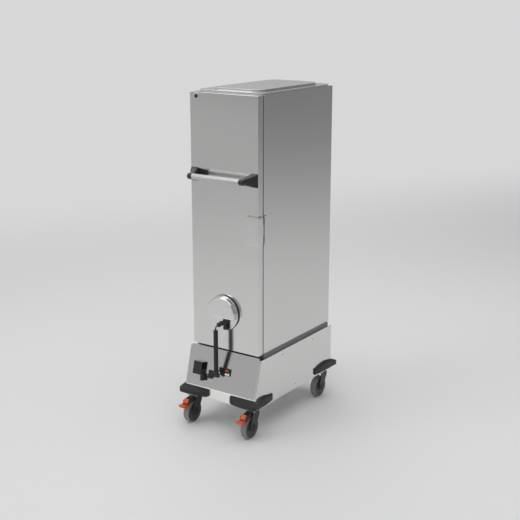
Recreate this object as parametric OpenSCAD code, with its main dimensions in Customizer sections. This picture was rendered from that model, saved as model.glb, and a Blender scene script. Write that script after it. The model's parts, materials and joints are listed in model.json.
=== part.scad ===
// Enclosed meal tray cart: insulated cabinet with one full-height door, on a base with four casters.
// Millimetres. X runs across the door, Y from the door towards the back, Z up from the floor.
// Each piece is drawn with y = 0 on the door's face; at_door() then centres the cart on the origin.

/* [Cabinet] */
// Width of the cabinet and its door
body_w = 440; // [430:1:450]
// Depth from the door's face to the back of the cabinet
body_d = 740; // [720:1:780]
// Height of the cabinet without its base
body_h = 1400; // [1380:1:1450]
// Height of the cabinet's underside above the floor
body_z = 458; // [456:1:460]
// Thickness of the outer sheets
sheet = 1.5; // [1:0.1:2]
// Thickness of the foam in the side walls
foam_t = 48; // [44:1:50]
// Thickness of the foam in the floor and the roof
foam_cap_t = 52; // [48:1:56]
// Thickness of the liner's sheet
liner_t = 1.2; // [1:0.1:1.5]
// Height of the raised field on the roof pan
deck_h = 10; // [8:1:12]
// Distance from the cabinet's side to the raised field
deck_inset = 57; // [54:1:60]

/* [Door] */
// Thickness of the door
door_t = 42; // [41:0.5:43]
// Gap between the door and the cabinet
door_gap = 5; // [4.5:0.1:5.5]
// Height of the push bar's axis above the floor
bar_z = 1422; // [1400:1:1460]
// Distance from the door's face to the push bar's axis
bar_reach = 74; // [70:1:78]
// Radius of the push bar
bar_r = 15; // [13:0.5:16]
// Height of the latch's middle above the floor
latch_z = 1154; // [1130:1:1180]
// Height of the latch paddle
latch_h = 156; // [140:1:170]

/* [Heater module] */
// Height of the module's centre above the floor
module_z = 671; // [665:1:680]
// Radius of the module's flange
flange_r = 98; // [96:1:100]
// Radius of the module's cover
cover_r = 93; // [90:1:94]
// Depth of the module's cover
cover_d = 28; // [27:1:30]

/* [Trays] */
// Number of tray levels
levels = 16; // [10:1:16]
// Distance between two tray levels
level_pitch = 75; // [74:0.5:75]

/* [Base] */
// Width of the base over its side covers
base_w = 484; // [482:1:486]
// Height of the base cover's top above the floor
base_top_z = 440; // [438:1:442]
// Height of the cover's lower edge above the floor
base_bottom_z = 166; // [165:1:168]
// Height of the sloped panel's lower edge above the floor
slope_bottom_z = 228; // [226:1:230]
// Distance that the sloped panel's lower edge stands before the door
slope_reach = 60; // [58:1:62]

/* [Casters] */
// Diameter of the wheels
wheel_d = 125; // [125:1:126]
// Width of the wheels
wheel_w = 36; // [34:1:36]
// Distance from a swivel axis to its wheel's axle
trail = 39; // [38:1:40]
// Distance of the swivel axes from the cart's middle plane
caster_x = 198; // [196:1:200]
// Distance of the front swivel axes before the door's face
caster_front_y = -17; // [-20:1:-15]
// Distance of the rear swivel axes behind the door's face
caster_rear_y = 707; // [700:1:710]
// Distance that the rear bumpers reach behind the door's face
bumper_rear_y = 788; // [786:1:790]

/* [Fits] */
// Radial clearance of a pin or shaft in its bore
fit_gap = 0.05; // [0.03:0.01:0.08]

/* [Hidden] */
$fn = 64;

// Colours
steel = [0.72, 0.72, 0.71];
bright = [0.86, 0.86, 0.85];
black = [0.12, 0.12, 0.12];
dark = [0.25, 0.25, 0.26];
grey = [0.42, 0.41, 0.41];
orange = [0.88, 0.36, 0.12];
foam = [0.93, 0.87, 0.66];
zinc = [0.60, 0.61, 0.62];

// Places along Y, from the door's face
pedal_reach = 156;
y_door = (pedal_reach - bumper_rear_y) / 2;
frame_y = door_t + door_gap;
liner_back_y = 680;
// Places along Z
body_top_z = body_z + body_h;
liner_z0 = body_z + foam_cap_t;
liner_z1 = body_top_z - foam_cap_t;
liner_x = body_w / 2 - sheet - foam_t;
axle_z = wheel_d / 2;
slope_top_z = 450;
roof_h = 10;
slope_top_y = -3;
// Door hinge axis
hinge_x = -body_w / 2 - 13;
hinge_y = frame_y - 3;
hinge_levels = [620, 1158, 1700];
pin_r = 4;
knuckle_r = 8;
// Heater module
duct_r = 82;
module_x = -6;
module_seal = 8;
module_back_y = -12;
shaft_r = 4;
hose_x = -15;
hose_y = -70;
hose_r = 12.5;
hose_z0 = 330;
hose_z1 = 584;
// Sockets on the sloped panel, in a frame that leans with the panel
panel_z = 342;
block_d = 6;
rocker_x = 38;
rocker_z = 4.5;
rocker_pin_r = 1.4;
rocker_pin_y = -3.6;
plug_end_y = -43;
// Latch
latch_left_x = 148;
latch_axis = [latch_left_x + 3, -3.1];
latch_pin_r = 1.3;
latch_right_x = body_w / 2 + 6;
tongue_x = 205;
// Casters
plate_z = base_bottom_z - 6;
crown_z = 150;
king_r = 7;
axle_r = 6;
leg_t = 4;
pedal_y = -80;
pedal_z = 139;

// y of the sloped panel's outer face at height z
function slope_y(z) = slope_top_y
    - (slope_top_z - z) / (slope_top_z - slope_bottom_z) * (slope_reach + slope_top_y);
slope_angle = atan((slope_reach + slope_top_y) / (slope_top_z - slope_bottom_z));
// Frame on the sloped panel: x as before, -y straight out of the panel, z up along it
module on_slope() { translate([0, slope_y(panel_z), panel_z]) rotate([-slope_angle, 0, 0]) children(); }
// Four points of the two outer tangents of two circles
function tangents(p, pr, q, qr) =
    let (d = q - p, a = atan2(d.y, d.x), b = acos((pr - qr) / norm(d)))
    [
        p + pr * [cos(a + b), sin(a + b)],
        q + qr * [cos(a + b), sin(a + b)],
        q + qr * [cos(a - b), sin(a - b)],
        p + pr * [cos(a - b), sin(a - b)]
    ];
// Points of an arc about a centre
function arc(centre, r, a0, a1, steps) =
    [for (i = [0:steps]) centre + r * [cos(a0 + (a1 - a0) * i / steps), sin(a0 + (a1 - a0) * i / steps)]];

module at_door() { translate([0, y_door, 0]) children(); }
module both_sides() {
    children();
    mirror([1, 0, 0]) children();
}
// Block between its lowest and highest corners
module block(lo, hi) { translate(lo) cube(hi - lo); }
// Rods between two places along one axis
module rod_x(x0, x1, y, z, r) { translate([x0, y, z]) rotate([0, 90, 0]) cylinder(h = x1 - x0, r = r); }
module rod_y(y0, y1, x, z, r) { translate([x, y0, z]) rotate([-90, 0, 0]) cylinder(h = y1 - y0, r = r); }
module rod_z(z0, z1, x, y, r) { translate([x, y, z0]) cylinder(h = z1 - z0, r = r); }
// Rod from one point to another
module rod(p, q, r) {
    d = q - p;
    translate(p)
        rotate([0, acos(d.z / norm(d)), atan2(d.y, d.x)])
            cylinder(h = norm(d), r = r);
}
// A profile drawn as [y, z], pulled from x0 to x1
module along_x(x0, x1) { translate([x0, 0, 0]) rotate([90, 0, 90]) linear_extrude(x1 - x0) children(); }
// Two circles and the web between them
module link_shape(p, pr, q, qr) {
    translate(p) circle(r = pr);
    translate(q) circle(r = qr);
    polygon(tangents(p, pr, q, qr));
}

// --- Cabinet ---------------------------------------------------------------

// Outer sheets: sides, floor and roof, open at the front and the back
module cabinet_shell() {
    color(steel) at_door() difference() {
        block([-body_w / 2, frame_y + sheet, body_z], [body_w / 2, body_d - sheet, body_top_z]);
        block([-body_w / 2 + sheet, frame_y, body_z + sheet],
            [body_w / 2 - sheet, body_d, body_top_z - sheet]);
    }
}

// Rear cover with a pressed-out field
module back_panel() {
    x = body_w / 2 - 40;
    color(steel) at_door() difference() {
        union() {
            block([-body_w / 2, body_d - sheet, body_z], [body_w / 2, body_d, body_top_z]);
            block([-x, body_d, body_z + 60], [x, body_d + 2, body_top_z - 60]);
        }
        block([-x + sheet, body_d - sheet - 1, body_z + 60 + sheet],
            [x - sheet, body_d + 2 - sheet, body_top_z - 60 - sheet]);
    }
}

// Thermal break round the door opening that joins the shell to the liner, with the latch's slot
module front_frame() {
    color(grey) at_door() difference() {
        block([-body_w / 2, frame_y, body_z], [body_w / 2, frame_y + sheet, body_top_z]);
        block([-liner_x + liner_t, frame_y - 1, liner_z0 + liner_t],
            [liner_x - liner_t, frame_y + 3, liner_z1 - liner_t]);
        block([tongue_x - 8, frame_y - 1, latch_z - 22], [tongue_x + 8, frame_y + 3, latch_z + 22]);
    }
}

// Inner box, open at the front
module inner_liner() {
    color(bright) at_door() difference() {
        block([-liner_x, frame_y + sheet, liner_z0], [liner_x, liner_back_y, liner_z1]);
        block([-liner_x + liner_t, frame_y, liner_z0 + liner_t],
            [liner_x - liner_t, liner_back_y - liner_t, liner_z1 - liner_t]);
    }
}

// Foam that fills the walls between shell and liner
module wall_foam() {
    color(foam) at_door() difference() {
        block([-body_w / 2 + sheet, frame_y + sheet, body_z + sheet],
            [body_w / 2 - sheet, body_d - sheet, body_top_z - sheet]);
        block([-liner_x, frame_y, liner_z0], [liner_x, liner_back_y, liner_z1]);
        block([tongue_x - 10, frame_y, latch_z - 26], [tongue_x + 10, frame_y + 24, latch_z + 26]);
    }
}

// Plan of a plate with rounded corners, as wide on both sides
module rounded_plan(x, y0, y1, r) {
    translate([-x, y0 + r]) square([2 * x, y1 - y0 - 2 * r]);
    translate([-x + r, y0]) square([2 * (x - r), y1 - y0]);
    for (px = [r - x, x - r], py = [y0 + r, y1 - r]) translate([px, py]) circle(r = r);
}
// The roof pan's outside, or its inside for an inset of one sheet
module roof_pan(inset) {
    translate([0, 0, body_top_z - inset]) {
        linear_extrude(roof_h)
            rounded_plan(body_w / 2 - 3 - inset, frame_y + 5 + inset, body_d - 3 - inset, 50 - inset);
        linear_extrude(roof_h + deck_h)
            rounded_plan(body_w / 2 - deck_inset - inset, frame_y + 53 + inset, body_d - 43 - inset, 60 - inset);
    }
}
// Roof pan with rounded corners and a raised field, open below
module top_deck() {
    color(steel) at_door() difference() {
        roof_pan(0);
        roof_pan(sheet);
    }
}

post_y = [110, 600];
post_x = liner_x - liner_t - 5;
// Four posts that carry the tray runners
module tray_posts() {
    color(bright) at_door() both_sides()
        for (y = post_y)
            block([post_x, y, liner_z0 + liner_t], [liner_x - liner_t, y + 20, liner_z1 - liner_t]);
}

// Height of a level's runner ledge above the floor
function level_z(i) = liner_z0 + 70 + i * level_pitch;
// L-shaped runners hooked on the posts, one pair a level
module tray_runners() {
    color(bright) at_door() both_sides()
        for (i = [0:levels - 1]) {
            block([post_x - 20, 80, level_z(i) - 1.5], [post_x, 640, level_z(i)]);
            block([post_x - 1.5, 80, level_z(i) - 14], [post_x, 640, level_z(i) - 1.5]);
        }
}

// --- Hinges and latch ------------------------------------------------------

// Cabinet leaves with the lower knuckles and the pins
module hinge_lower_leaves() {
    color(bright) at_door()
        for (z = hinge_levels) {
            rod_z(z - 30, z, hinge_x, hinge_y, knuckle_r);
            rod_z(z - 30, z + 26, hinge_x, hinge_y, pin_r);
            block([hinge_x, hinge_y, z - 30], [-body_w / 2, hinge_y + 6, z]);
            block([-body_w / 2 - 3, hinge_y + 5, z - 30], [-body_w / 2, hinge_y + 42, z + 30]);
        }
}

// Door leaves with the upper knuckles, lifted on to the pins
module hinge_upper_leaves() {
    color(bright) at_door()
        for (z = hinge_levels)
            difference() {
                union() {
                    rod_z(z + 0.3, z + 30, hinge_x, hinge_y, knuckle_r);
                    block([hinge_x, hinge_y - 6, z + 0.3], [-body_w / 2, hinge_y - 2, z + 30]);
                    block([-body_w / 2 - 3, hinge_y - 36, z - 30], [-body_w / 2, hinge_y - 2, z + 30]);
                }
                rod_z(z - 1, z + 27, hinge_x, hinge_y, pin_r + fit_gap);
                block([hinge_x - 9, hinge_y - 9, z - 31], [-body_w / 2 - 3, hinge_y + 9, z + 0.3]);
            }
}

// Keeper on the cabinet's side wall, with its slotted tab on the front edge
module latch_keeper() {
    x = body_w / 2;
    z0 = latch_z - latch_h / 2;
    z1 = latch_z + latch_h / 2;
    color(steel) at_door() difference() {
        union() {
            block([x, frame_y + 2, z0], [x + 6, frame_y + 22, z1]);
            block([tongue_x - 10, frame_y - 1, latch_z - 30], [x, frame_y, latch_z + 30]);
            block([x, frame_y - 1, latch_z - 30], [x + 1.5, frame_y + 3, latch_z + 30]);
        }
        block([tongue_x - 8, frame_y - 2, latch_z - 22], [tongue_x + 8, frame_y + 1, latch_z + 22]);
    }
}

// Black case of the latch in the door's edge
module latch_case() {
    x = body_w / 2;
    color(black) at_door() difference() {
        block([x - 28, 4, latch_z - 62], [x + 1, door_t - 2, latch_z + 62]);
        block([tongue_x - 8, 8, latch_z - 30], [tongue_x + 8, door_t, latch_z + 30]);
    }
}

// Spring tongue behind the paddle; its nose stops just short of the keeper's edge
module latch_tongue() {
    color(bright) at_door() {
        block([tongue_x - 2, 10, latch_z - 18], [tongue_x + 2, frame_y + 14, latch_z + 18]);
        block([tongue_x + 2, frame_y + 4, latch_z - 18], [tongue_x + 6, frame_y + 14, latch_z + 18]);
    }
}

// Pin of the paddle's hinge between two small ears on the door
module latch_hinge() {
    z0 = latch_z - latch_h / 2;
    z1 = latch_z + latch_h / 2;
    color(bright) at_door() {
        rod_z(z0 - 4, z1 + 4, latch_axis.x, latch_axis.y, latch_pin_r);
        for (z = [z0 - 4, z1 + 0.4])
            block([latch_left_x, -5.5, z], [latch_left_x + 6, 0, z + 3.6]);
    }
}

// Paddle: a folded plate over the door's right edge, with a rolled knuckle on its left edge
module latch_paddle() {
    z0 = latch_z - latch_h / 2;
    r = 14;
    color(steel) at_door() difference() {
        union() {
            intersection() {
                translate([0, 0, z0]) linear_extrude(latch_h)
                    polygon(concat(
                        [[latch_axis.x, -6]],
                        arc([latch_right_x - 5, -1], 5, 270, 360, 4),
                        [[latch_right_x, 37], [latch_right_x - 2, 37]],
                        arc([latch_right_x - 5, -1], 3, 360, 270, 4),
                        [[latch_axis.x, -4]]
                    ));
                along_x(latch_left_x - 1, latch_right_x + 1)
                    polygon(concat(
                        [[-7, z0], [-7, z0 + latch_h]],
                        arc([37 - r, z0 + latch_h - r], r, 90, 0, 6),
                        arc([37 - r, z0 + r], r, 0, -90, 6)
                    ));
            }
            rod_z(z0, z0 + latch_h, latch_axis.x, latch_axis.y, 2.8);
        }
        rod_z(z0 - 1, z0 + latch_h + 1, latch_axis.x, latch_axis.y, latch_pin_r + fit_gap);
    }
}

// --- Door ------------------------------------------------------------------

// Outer skin: a pan with a round opening for the heater module
module door_skin() {
    x = body_w / 2;
    color(steel) at_door() difference() {
        block([-x, 0, body_z], [x, door_t - sheet, body_top_z]);
        block([-x + sheet, sheet, body_z + sheet], [x - sheet, door_t, body_top_z - sheet]);
        rod_y(-1, 3, module_x, module_z, duct_r);
        block([x - 28, 4, latch_z - 62], [x + 1, door_t, latch_z + 62]);
    }
}

module door_foam() {
    x = body_w / 2 - sheet;
    color(foam) at_door() difference() {
        block([-x, sheet, body_z + sheet], [x, door_t - sheet, body_top_z - sheet]);
        rod_y(0, door_t, module_x, module_z, duct_r);
        block([body_w / 2 - 28, 4, latch_z - 62], [x + 1, door_t, latch_z + 62]);
    }
}

// Inner sheet of the door, with openings for the fan and the tongue
module door_liner() {
    color(bright) at_door() difference() {
        block([-body_w / 2, door_t - sheet, body_z], [body_w / 2, door_t, body_top_z]);
        rod_y(door_t - 3, door_t + 1, module_x, module_z, duct_r);
        block([body_w / 2 - 28, door_t - 3, latch_z - 62], [body_w / 2 + 1, door_t + 1, latch_z + 62]);
    }
}

module door_gasket() {
    x = liner_x + 18;
    color(black) at_door() difference() {
        block([-x, door_t, liner_z0 - 18], [x, frame_y - 0.4, liner_z1 + 18]);
        block([-x + 14, door_t - 1, liner_z0 - 4], [x - 14, frame_y, liner_z1 + 4]);
    }
}

// Bracket outline seen from above, from the door's face to the round tip
bracket_plan = concat(
    [[218, 0], [174, 0], [155, -40]],
    arc([166, -bar_reach], 18, 180, 330, 8),
    [[217, -14]]
);
// Two wedge brackets of the push bar, bored for the bar
module bar_brackets() {
    color(black) at_door() both_sides() difference() {
        intersection() {
            translate([0, 0, bar_z - 40]) linear_extrude(80) polygon(bracket_plan);
            along_x(140, 220)
                polygon(concat(
                    [[0, bar_z + 37], [-14, bar_z + 37]],
                    arc([-bar_reach, bar_z], 17, 60, 300, 12),
                    [[-14, bar_z - 37], [0, bar_z - 37]]
                ));
        }
        rod_x(140, 178, -bar_reach, bar_z, bar_r + 0.02);
    }
}

// Push bar: an aluminium tube with two grooves along its front
module push_bar() {
    color(bright) at_door() difference() {
        rod_x(-178, 178, -bar_reach, bar_z, bar_r);
        rod_x(-179, 179, -bar_reach, bar_z, bar_r - 3);
        for (a = [-20, 25])
            rod_x(-148, 148, -bar_reach - (bar_r + 0.6) * cos(a), bar_z + (bar_r + 0.6) * sin(a), 1.6);
    }
}

// Small black cap on its ring at the door's top left corner
module corner_cap() {
    color(black) at_door() {
        rod_y(-1.5, 0, -180, body_top_z - 20, 17);
        rod_y(-4, -1.5, -178, body_top_z - 20, 10.5);
    }
}

// --- Heater module ---------------------------------------------------------

module module_gasket() {
    color(black) at_door() difference() {
        rod_y(-module_seal, 0, module_x, module_z, flange_r + 1);
        rod_y(-module_seal - 1, 1, module_x, module_z, duct_r);
    }
}

// Round flange with a bore that the motor's shaft passes
module module_flange() {
    color(steel) at_door() difference() {
        rod_y(module_back_y, -module_seal, module_x, module_z, flange_r);
        rod_y(module_back_y - 1, 0, module_x, module_z, 10);
    }
}

// Half section of the domed cover, from its axis outwards
function dome_section(r, h, edge) = concat([[0, 0], [r, 0]], arc([r - edge, h - edge], edge, 0, 90, 8), [[0, h]]);
// D-shaped cover: a domed pan cut off flat below, with a flat floor plate
module module_cover() {
    cut_z = module_z - 20;
    color(steel) at_door() {
        difference() {
            translate([module_x, module_back_y, module_z]) rotate([90, 0, 0])
                rotate_extrude() polygon(dome_section(cover_r, cover_d, 8));
            translate([module_x, module_back_y + 0.5, module_z]) rotate([90, 0, 0])
                rotate_extrude() polygon(dome_section(cover_r - 1.5, cover_d - 1, 6.5));
            block([-110, -60, module_z - 100], [100, 0, cut_z]);
        }
        intersection() {
            block([-110, -60, cut_z], [100, module_back_y, cut_z + 1.5]);
            translate([module_x, module_back_y, module_z]) rotate([90, 0, 0])
                rotate_extrude() polygon(dome_section(cover_r - 1, cover_d - 0.5, 7));
        }
    }
}

// Motor and its control box on the flange, with the shaft through the bore
module fan_motor() {
    color(zinc) at_door() {
        rod_y(-36, module_back_y, module_x, module_z, 17);
        rod_y(-14, 34, module_x, module_z, shaft_r);
        block([module_x - 24, -32, module_z + 10], [module_x + 24, module_back_y, module_z + 58]);
    }
}

// Sleeve that lines the opening through the door's foam
module fan_duct() {
    color(bright) at_door() difference() {
        rod_y(0, door_t, module_x, module_z, duct_r);
        rod_y(-1, door_t + 1, module_x, module_z, duct_r - 1.2);
    }
}

// Two sheathed heating rings round the impeller, on their terminals
module heating_rings() {
    color(dark) at_door()
        for (y = [14, 27]) {
            translate([module_x, y, module_z]) rotate([90, 0, 0])
                rotate_extrude() translate([72, 0]) circle(r = 3.5);
            rod_y(-module_seal, y, module_x, module_z + 72, 2.5);
        }
}

// Radial impeller on the motor's shaft
module fan_impeller() {
    color(zinc) at_door() difference() {
        union() {
            rod_y(12, 14, module_x, module_z, 60);
            rod_y(10, 32, module_x, module_z, 9);
            for (a = [0:30:330])
                translate([module_x, 0, module_z]) rotate([0, a, 0])
                    block([30, 14, -1], [60, 32, 1]);
        }
        rod_y(9, 35, module_x, module_z, shaft_r + fit_gap);
    }
}

// Round guard over the fan on the door's inner face
module fan_guard() {
    color(bright) at_door() difference() {
        rod_y(door_t, door_t + 1.5, module_x, module_z, 92);
        for (ring = [1:4])
            for (a = [0:360 / (ring * 6):359])
                rod_y(door_t - 1, door_t + 3,
                    module_x + 18 * ring * cos(a), module_z + 18 * ring * sin(a), 5);
    }
}

// Connector under the cover: ribbed stub and slanted cable gland
gland_p = [12, -28, 627];
gland_q = [-15, -56, 607];
module module_connector() {
    color(black) at_door() {
        rod_z(596, module_z - 20, 18, -26, 11);
        rod_z(622, 638, 18, -26, 13.8);
        rod_z(585, 597, 18, -26, 12);
        rod(gland_p, gland_q, 11);
        rod(gland_p + (gland_q - gland_p) * 0.25, gland_p + (gland_q - gland_p) * 0.55, 13.8);
        rod(gland_p + (gland_q - gland_p) * 0.65, gland_p + (gland_q - gland_p) * 0.95, 13);
    }
}

// Thin lead that bends from the gland down into the hose
module module_lead() {
    bend_r = gland_q.y - hose_y;
    bend_z = gland_q.z - bend_r;
    color(black) at_door() {
        translate([hose_x, gland_q.y, bend_z]) rotate([90, 0, 90]) rotate([0, 0, 90])
            rotate_extrude(angle = 90) translate([bend_r, 0]) circle(r = 3.8);
        rod_z(hose_z1, bend_z, hose_x, hose_y, 3.8);
    }
}

// Straight hose with its angled plug, which stands against the socket block
module lead_hose() {
    color(black) at_door() {
        rod_z(hose_z0, hose_z1, hose_x, hose_y, hose_r);
        rod_z(324, 350, hose_x, hose_y, hose_r + 1);
        translate([hose_x, hose_y, 324]) sphere(r = hose_r + 1);
        rod_y(hose_y, plug_end_y, hose_x, 334, 10);
    }
}

// --- Base ------------------------------------------------------------------

// Dark band between the cabinet and the base
module spacer_frame() {
    color(grey) at_door() difference() {
        block([-226, frame_y, base_top_z], [226, body_d - 14, body_z]);
        block([-200, frame_y + 24, base_top_z - 1], [200, body_d - 40, body_z + 1]);
    }
}

// Side and rear covers in one sheet, with ledges on top and flanges along the slope
module base_cover() {
    x = base_w / 2;
    color(bright) at_door() {
        both_sides() {
            along_x(x - sheet, x)
                polygon([
                    [slope_y(base_top_z), base_top_z], [body_d, base_top_z], [body_d, base_bottom_z],
                    [-slope_reach, base_bottom_z], [-slope_reach, slope_bottom_z]
                ]);
            along_x(x - 12, x)
                polygon([
                    [slope_y(base_top_z), base_top_z], [slope_y(base_top_z) + sheet, base_top_z],
                    [-slope_reach + sheet, slope_bottom_z], [-slope_reach, slope_bottom_z]
                ]);
            block([200, slope_y(base_top_z) + 3, base_top_z - sheet], [x, body_d, base_top_z]);
        }
        block([-x, body_d - sheet, base_bottom_z], [x, body_d, base_top_z]);
    }
}

// Sloped panel between the side flanges, folded back under the door
module base_front_panel() {
    x = base_w / 2 - 12.5;
    z = slope_top_z;
    color(steel) at_door() difference() {
        along_x(-x, x)
            polygon([
                [slope_y(z), z], [frame_y - 1, z], [frame_y - 1, z - sheet], [slope_y(z) + 2.2, z - sheet],
                [-slope_reach + 2, slope_bottom_z], [-slope_reach, slope_bottom_z]
            ]);
        rod_y(-80, 20, 30, 345, 12);
        rod_y(-80, 20, -140, 345, 12);
    }
}

// Folded chassis tray with three stiffening ribs
module chassis_tray() {
    x = base_w / 2 - sheet;
    color(bright) at_door() {
        difference() {
            block([-x, -slope_reach, base_bottom_z], [x, body_d - sheet, slope_bottom_z]);
            block([-x + 3, -slope_reach + 3, base_bottom_z + 3],
                [x - 3, body_d - sheet - 3, slope_bottom_z + 1]);
        }
        for (y = [40, 120, 560])
            block([-x + 3, y, base_bottom_z + 3], [x - 3, y + 4, slope_bottom_z - 10]);
    }
}

// One corner bumper in plan: tapered wings about a rounded corner
module bumper_plan(front, side_end) {
    corner_r = 18;
    x = base_w / 2;
    polygon(concat(
        [[77, front], [77, front + 14], [94, front + 26], [124, front + 33]],
        arc([x + 20 - corner_r, front + 40 - corner_r], corner_r, 90, 0, 8),
        [[x + 18, front - side_end + 60], [x + 8, front - side_end], [x, front - side_end], [x, front]]
    ));
}
// Slot recesses near the ends of the wings
module bumper_slots(front, side_end) {
    x = base_w / 2;
    block([98, front + 17, 198], [122, front + 60, 202]);
    block([x + 8.5, front - side_end + 12, 198], [x + 40, front - side_end + 34, 202]);
}
// Profile that slopes the bumper's top outwards and rounds its lower edge
module bumper_side(front, length) {
    along_x(60, 300)
        polygon([
            [front + 45, 185], [front + 45, 203], [front, 222], [front - 40, 234],
            [front - length * 0.7, 232], [front - length, 222], [front - length, 180], [front + 40, 180]
        ]);
}

module bumpers_front() {
    color(dark) at_door() both_sides() mirror([0, 1, 0]) difference() {
        intersection() {
            translate([0, 0, 170]) linear_extrude(80) bumper_plan(slope_reach, 156);
            bumper_side(slope_reach, 156);
        }
        bumper_slots(slope_reach, 156);
    }
}

module bumpers_rear() {
    reach = bumper_rear_y - body_d - 40;
    color(dark) at_door() both_sides() difference() {
        union() {
            intersection() {
                translate([0, 0, 170]) linear_extrude(80) bumper_plan(body_d + reach, 190 + reach);
                bumper_side(body_d + reach, 190 + reach);
            }
            block([77, body_d, 180], [base_w / 2, body_d + reach, 222]);
        }
        bumper_slots(body_d + reach, 190 + reach);
    }
}

// Screws of the side covers and the rear covers
module cover_screws() {
    x = base_w / 2;
    color(zinc) at_door() {
        both_sides()
            for (p = [[208, 414], [527, 410], [341, 196]])
                rod_x(x, x + 2, p.x, p.y, 4.5);
        for (z = [body_z + 30 : 268 : body_top_z - 20])
            both_sides()
                rod_y(body_d, body_d + 2, body_w / 2 - 18, z, 4.5);
    }
}

// --- Electrical pieces on the base -----------------------------------------

// Socket block on the sloped panel, with a pocket and a pin bore for the rocker
module socket_block() {
    color(black) at_door() on_slope() difference() {
        union() {
            block([-20, -block_d, -24], [56, 0, 17]);
            block([-88, -7, -46], [-20, 0, -13]);
            block([-98, -12, -60], [-60, 0, -45]);
        }
        block([rocker_x - 17, -block_d - 1, rocker_z - 5.5], [rocker_x + 17, -1.2, rocker_z + 5.5]);
        rod_z(rocker_z - 8.1, rocker_z + 8.1, rocker_x, rocker_pin_y, rocker_pin_r + fit_gap);
    }
}

// Rocker of the mains switch, on a pin that stands up along the panel
module rocker_switch() {
    y = -block_d;
    color(orange) at_door() on_slope() {
        translate([0, 0, rocker_z - 4.5]) linear_extrude(9)
            polygon([
                [rocker_x - 15.5, y - 2.8], [rocker_x, y - 1.2], [rocker_x + 15.5, y + 0.3],
                [rocker_x + 15, y + 2.6], [rocker_x + 5, y + 3.6], [rocker_x - 5, y + 3.6],
                [rocker_x - 15, y + 0.4]
            ]);
        rod_z(rocker_z - 8, rocker_z + 8, rocker_x, rocker_pin_y, rocker_pin_r);
    }
}

// Two white indicator windows under the rocker
module indicator_windows() {
    color([0.95, 0.95, 0.95]) at_door() on_slope()
        for (x = [24, 39])
            block([x, -block_d - 1.2, -21.5], [x + 13, -block_d, -9.5]);
}

// Mains inlet box with an open recess in its right side and a collar below
module inlet_box() {
    color(black) at_door() on_slope() {
        difference() {
            block([-182, -27, -50], [-125, 0, 22]);
            block([-150, -23, -21], [-124, -2, 19]);
        }
        rod_z(-66, -49, -118, -15, 14.5);
        rod_z(-80, -66, -118, -15, 12.5);
        block([-125, -27, -50], [-106, 0, -42]);
    }
}

// Closed terminal box behind the sloped panel
module electrical_box() {
    color(dark) at_door() {
        block([-150, 30, slope_bottom_z - 10], [110, 150, 400]);
        rod_y(slope_y(345) + 2.4, 30, 30, 345, 9);
        rod_y(slope_y(345) + 2.4, 30, -140, 345, 9);
    }
}

// --- Casters ---------------------------------------------------------------

caster_places = [
    [-caster_x, caster_front_y], [caster_x, caster_front_y], [-caster_x, caster_rear_y], [caster_x, caster_rear_y]
];

// Mounting plates with their raceways, king pins and bolt heads
module caster_plates() {
    color(zinc) at_door()
        for (p = caster_places)
            translate([p.x, p.y, 0]) {
                block([-36, -46, plate_z], [36, 46, base_bottom_z]);
                rod_z(crown_z + 0.3, plate_z, 0, 0, 25);
                rod_z(134, plate_z, 0, 0, king_r);
                rod_z(130, 134, 0, 0, 11);
                for (x = [-28, 28], y = [-38, 38])
                    translate([x, y, plate_z - 5]) cylinder(h = 5, r = 7, $fn = 6);
            }
}

// Fork: crown, two legs and the axle; a braked fork also has a nose with the pedal's pivots
module fork(place, braked) {
    leg_x = wheel_w / 2 + 4;
    nose_x = 17;
    color(black) at_door() translate([place.x, place.y, 0]) {
        difference() {
            union() {
                rod_z(138, crown_z, 0, 0, 27);
                block([-leg_x - leg_t, -24, 140], [leg_x + leg_t, 18, crown_z]);
                if (braked)
                    along_x(-nose_x, nose_x)
                        polygon([[-20, 128], [-20, crown_z], [-76, 152], [-84, 146], [-84, 128]]);
            }
            rod_z(130, 160, 0, 0, king_r + fit_gap);
            rod_z(128, 138, 0, 0, 12);
        }
        both_sides()
            intersection() {
                along_x(leg_x, leg_x + leg_t) link_shape([-3, 126], 24, [-trail, axle_z], 22);
                block([0, -200, 0], [60, 60, crown_z]);
            }
        rod_x(-leg_x - leg_t - 3, leg_x + leg_t + 3, -trail, axle_z, axle_r);
        both_sides()
            translate([leg_x + leg_t, -trail, axle_z]) rotate([0, 90, 0]) cylinder(h = 5, r = 9, $fn = 6);
        if (braked)
            rod_x(-nose_x - 5, nose_x + 5, pedal_y, pedal_z, 3);
    }
}

// Wheel hub with a dished face and a bore for the axle
module hub(place) {
    w = wheel_w / 2;
    color(dark) at_door() translate([place.x, place.y - trail, axle_z]) rotate([0, 90, 0])
        rotate_extrude() polygon([
            [axle_r + fit_gap, -w - 3], [14, -w - 3], [18, -w + 5], [46, -w + 2], [55, -w + 3],
            [55, w - 3], [46, w - 2], [18, w - 5], [14, w + 3], [axle_r + fit_gap, w + 3]
        ]);
}

// Tyre with rounded shoulders
module tyre(place) {
    w = wheel_w / 2;
    r = wheel_d / 2;
    color(grey) at_door() translate([place.x, place.y - trail, axle_z]) rotate([0, 90, 0])
        rotate_extrude() polygon(concat(
            [[55, -w + 3]],
            arc([r - 6, -w + 6], 6, 270, 360, 5),
            arc([r - 6, w - 6], 6, 0, 90, 5),
            [[55, w - 3]]
        ));
}

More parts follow.
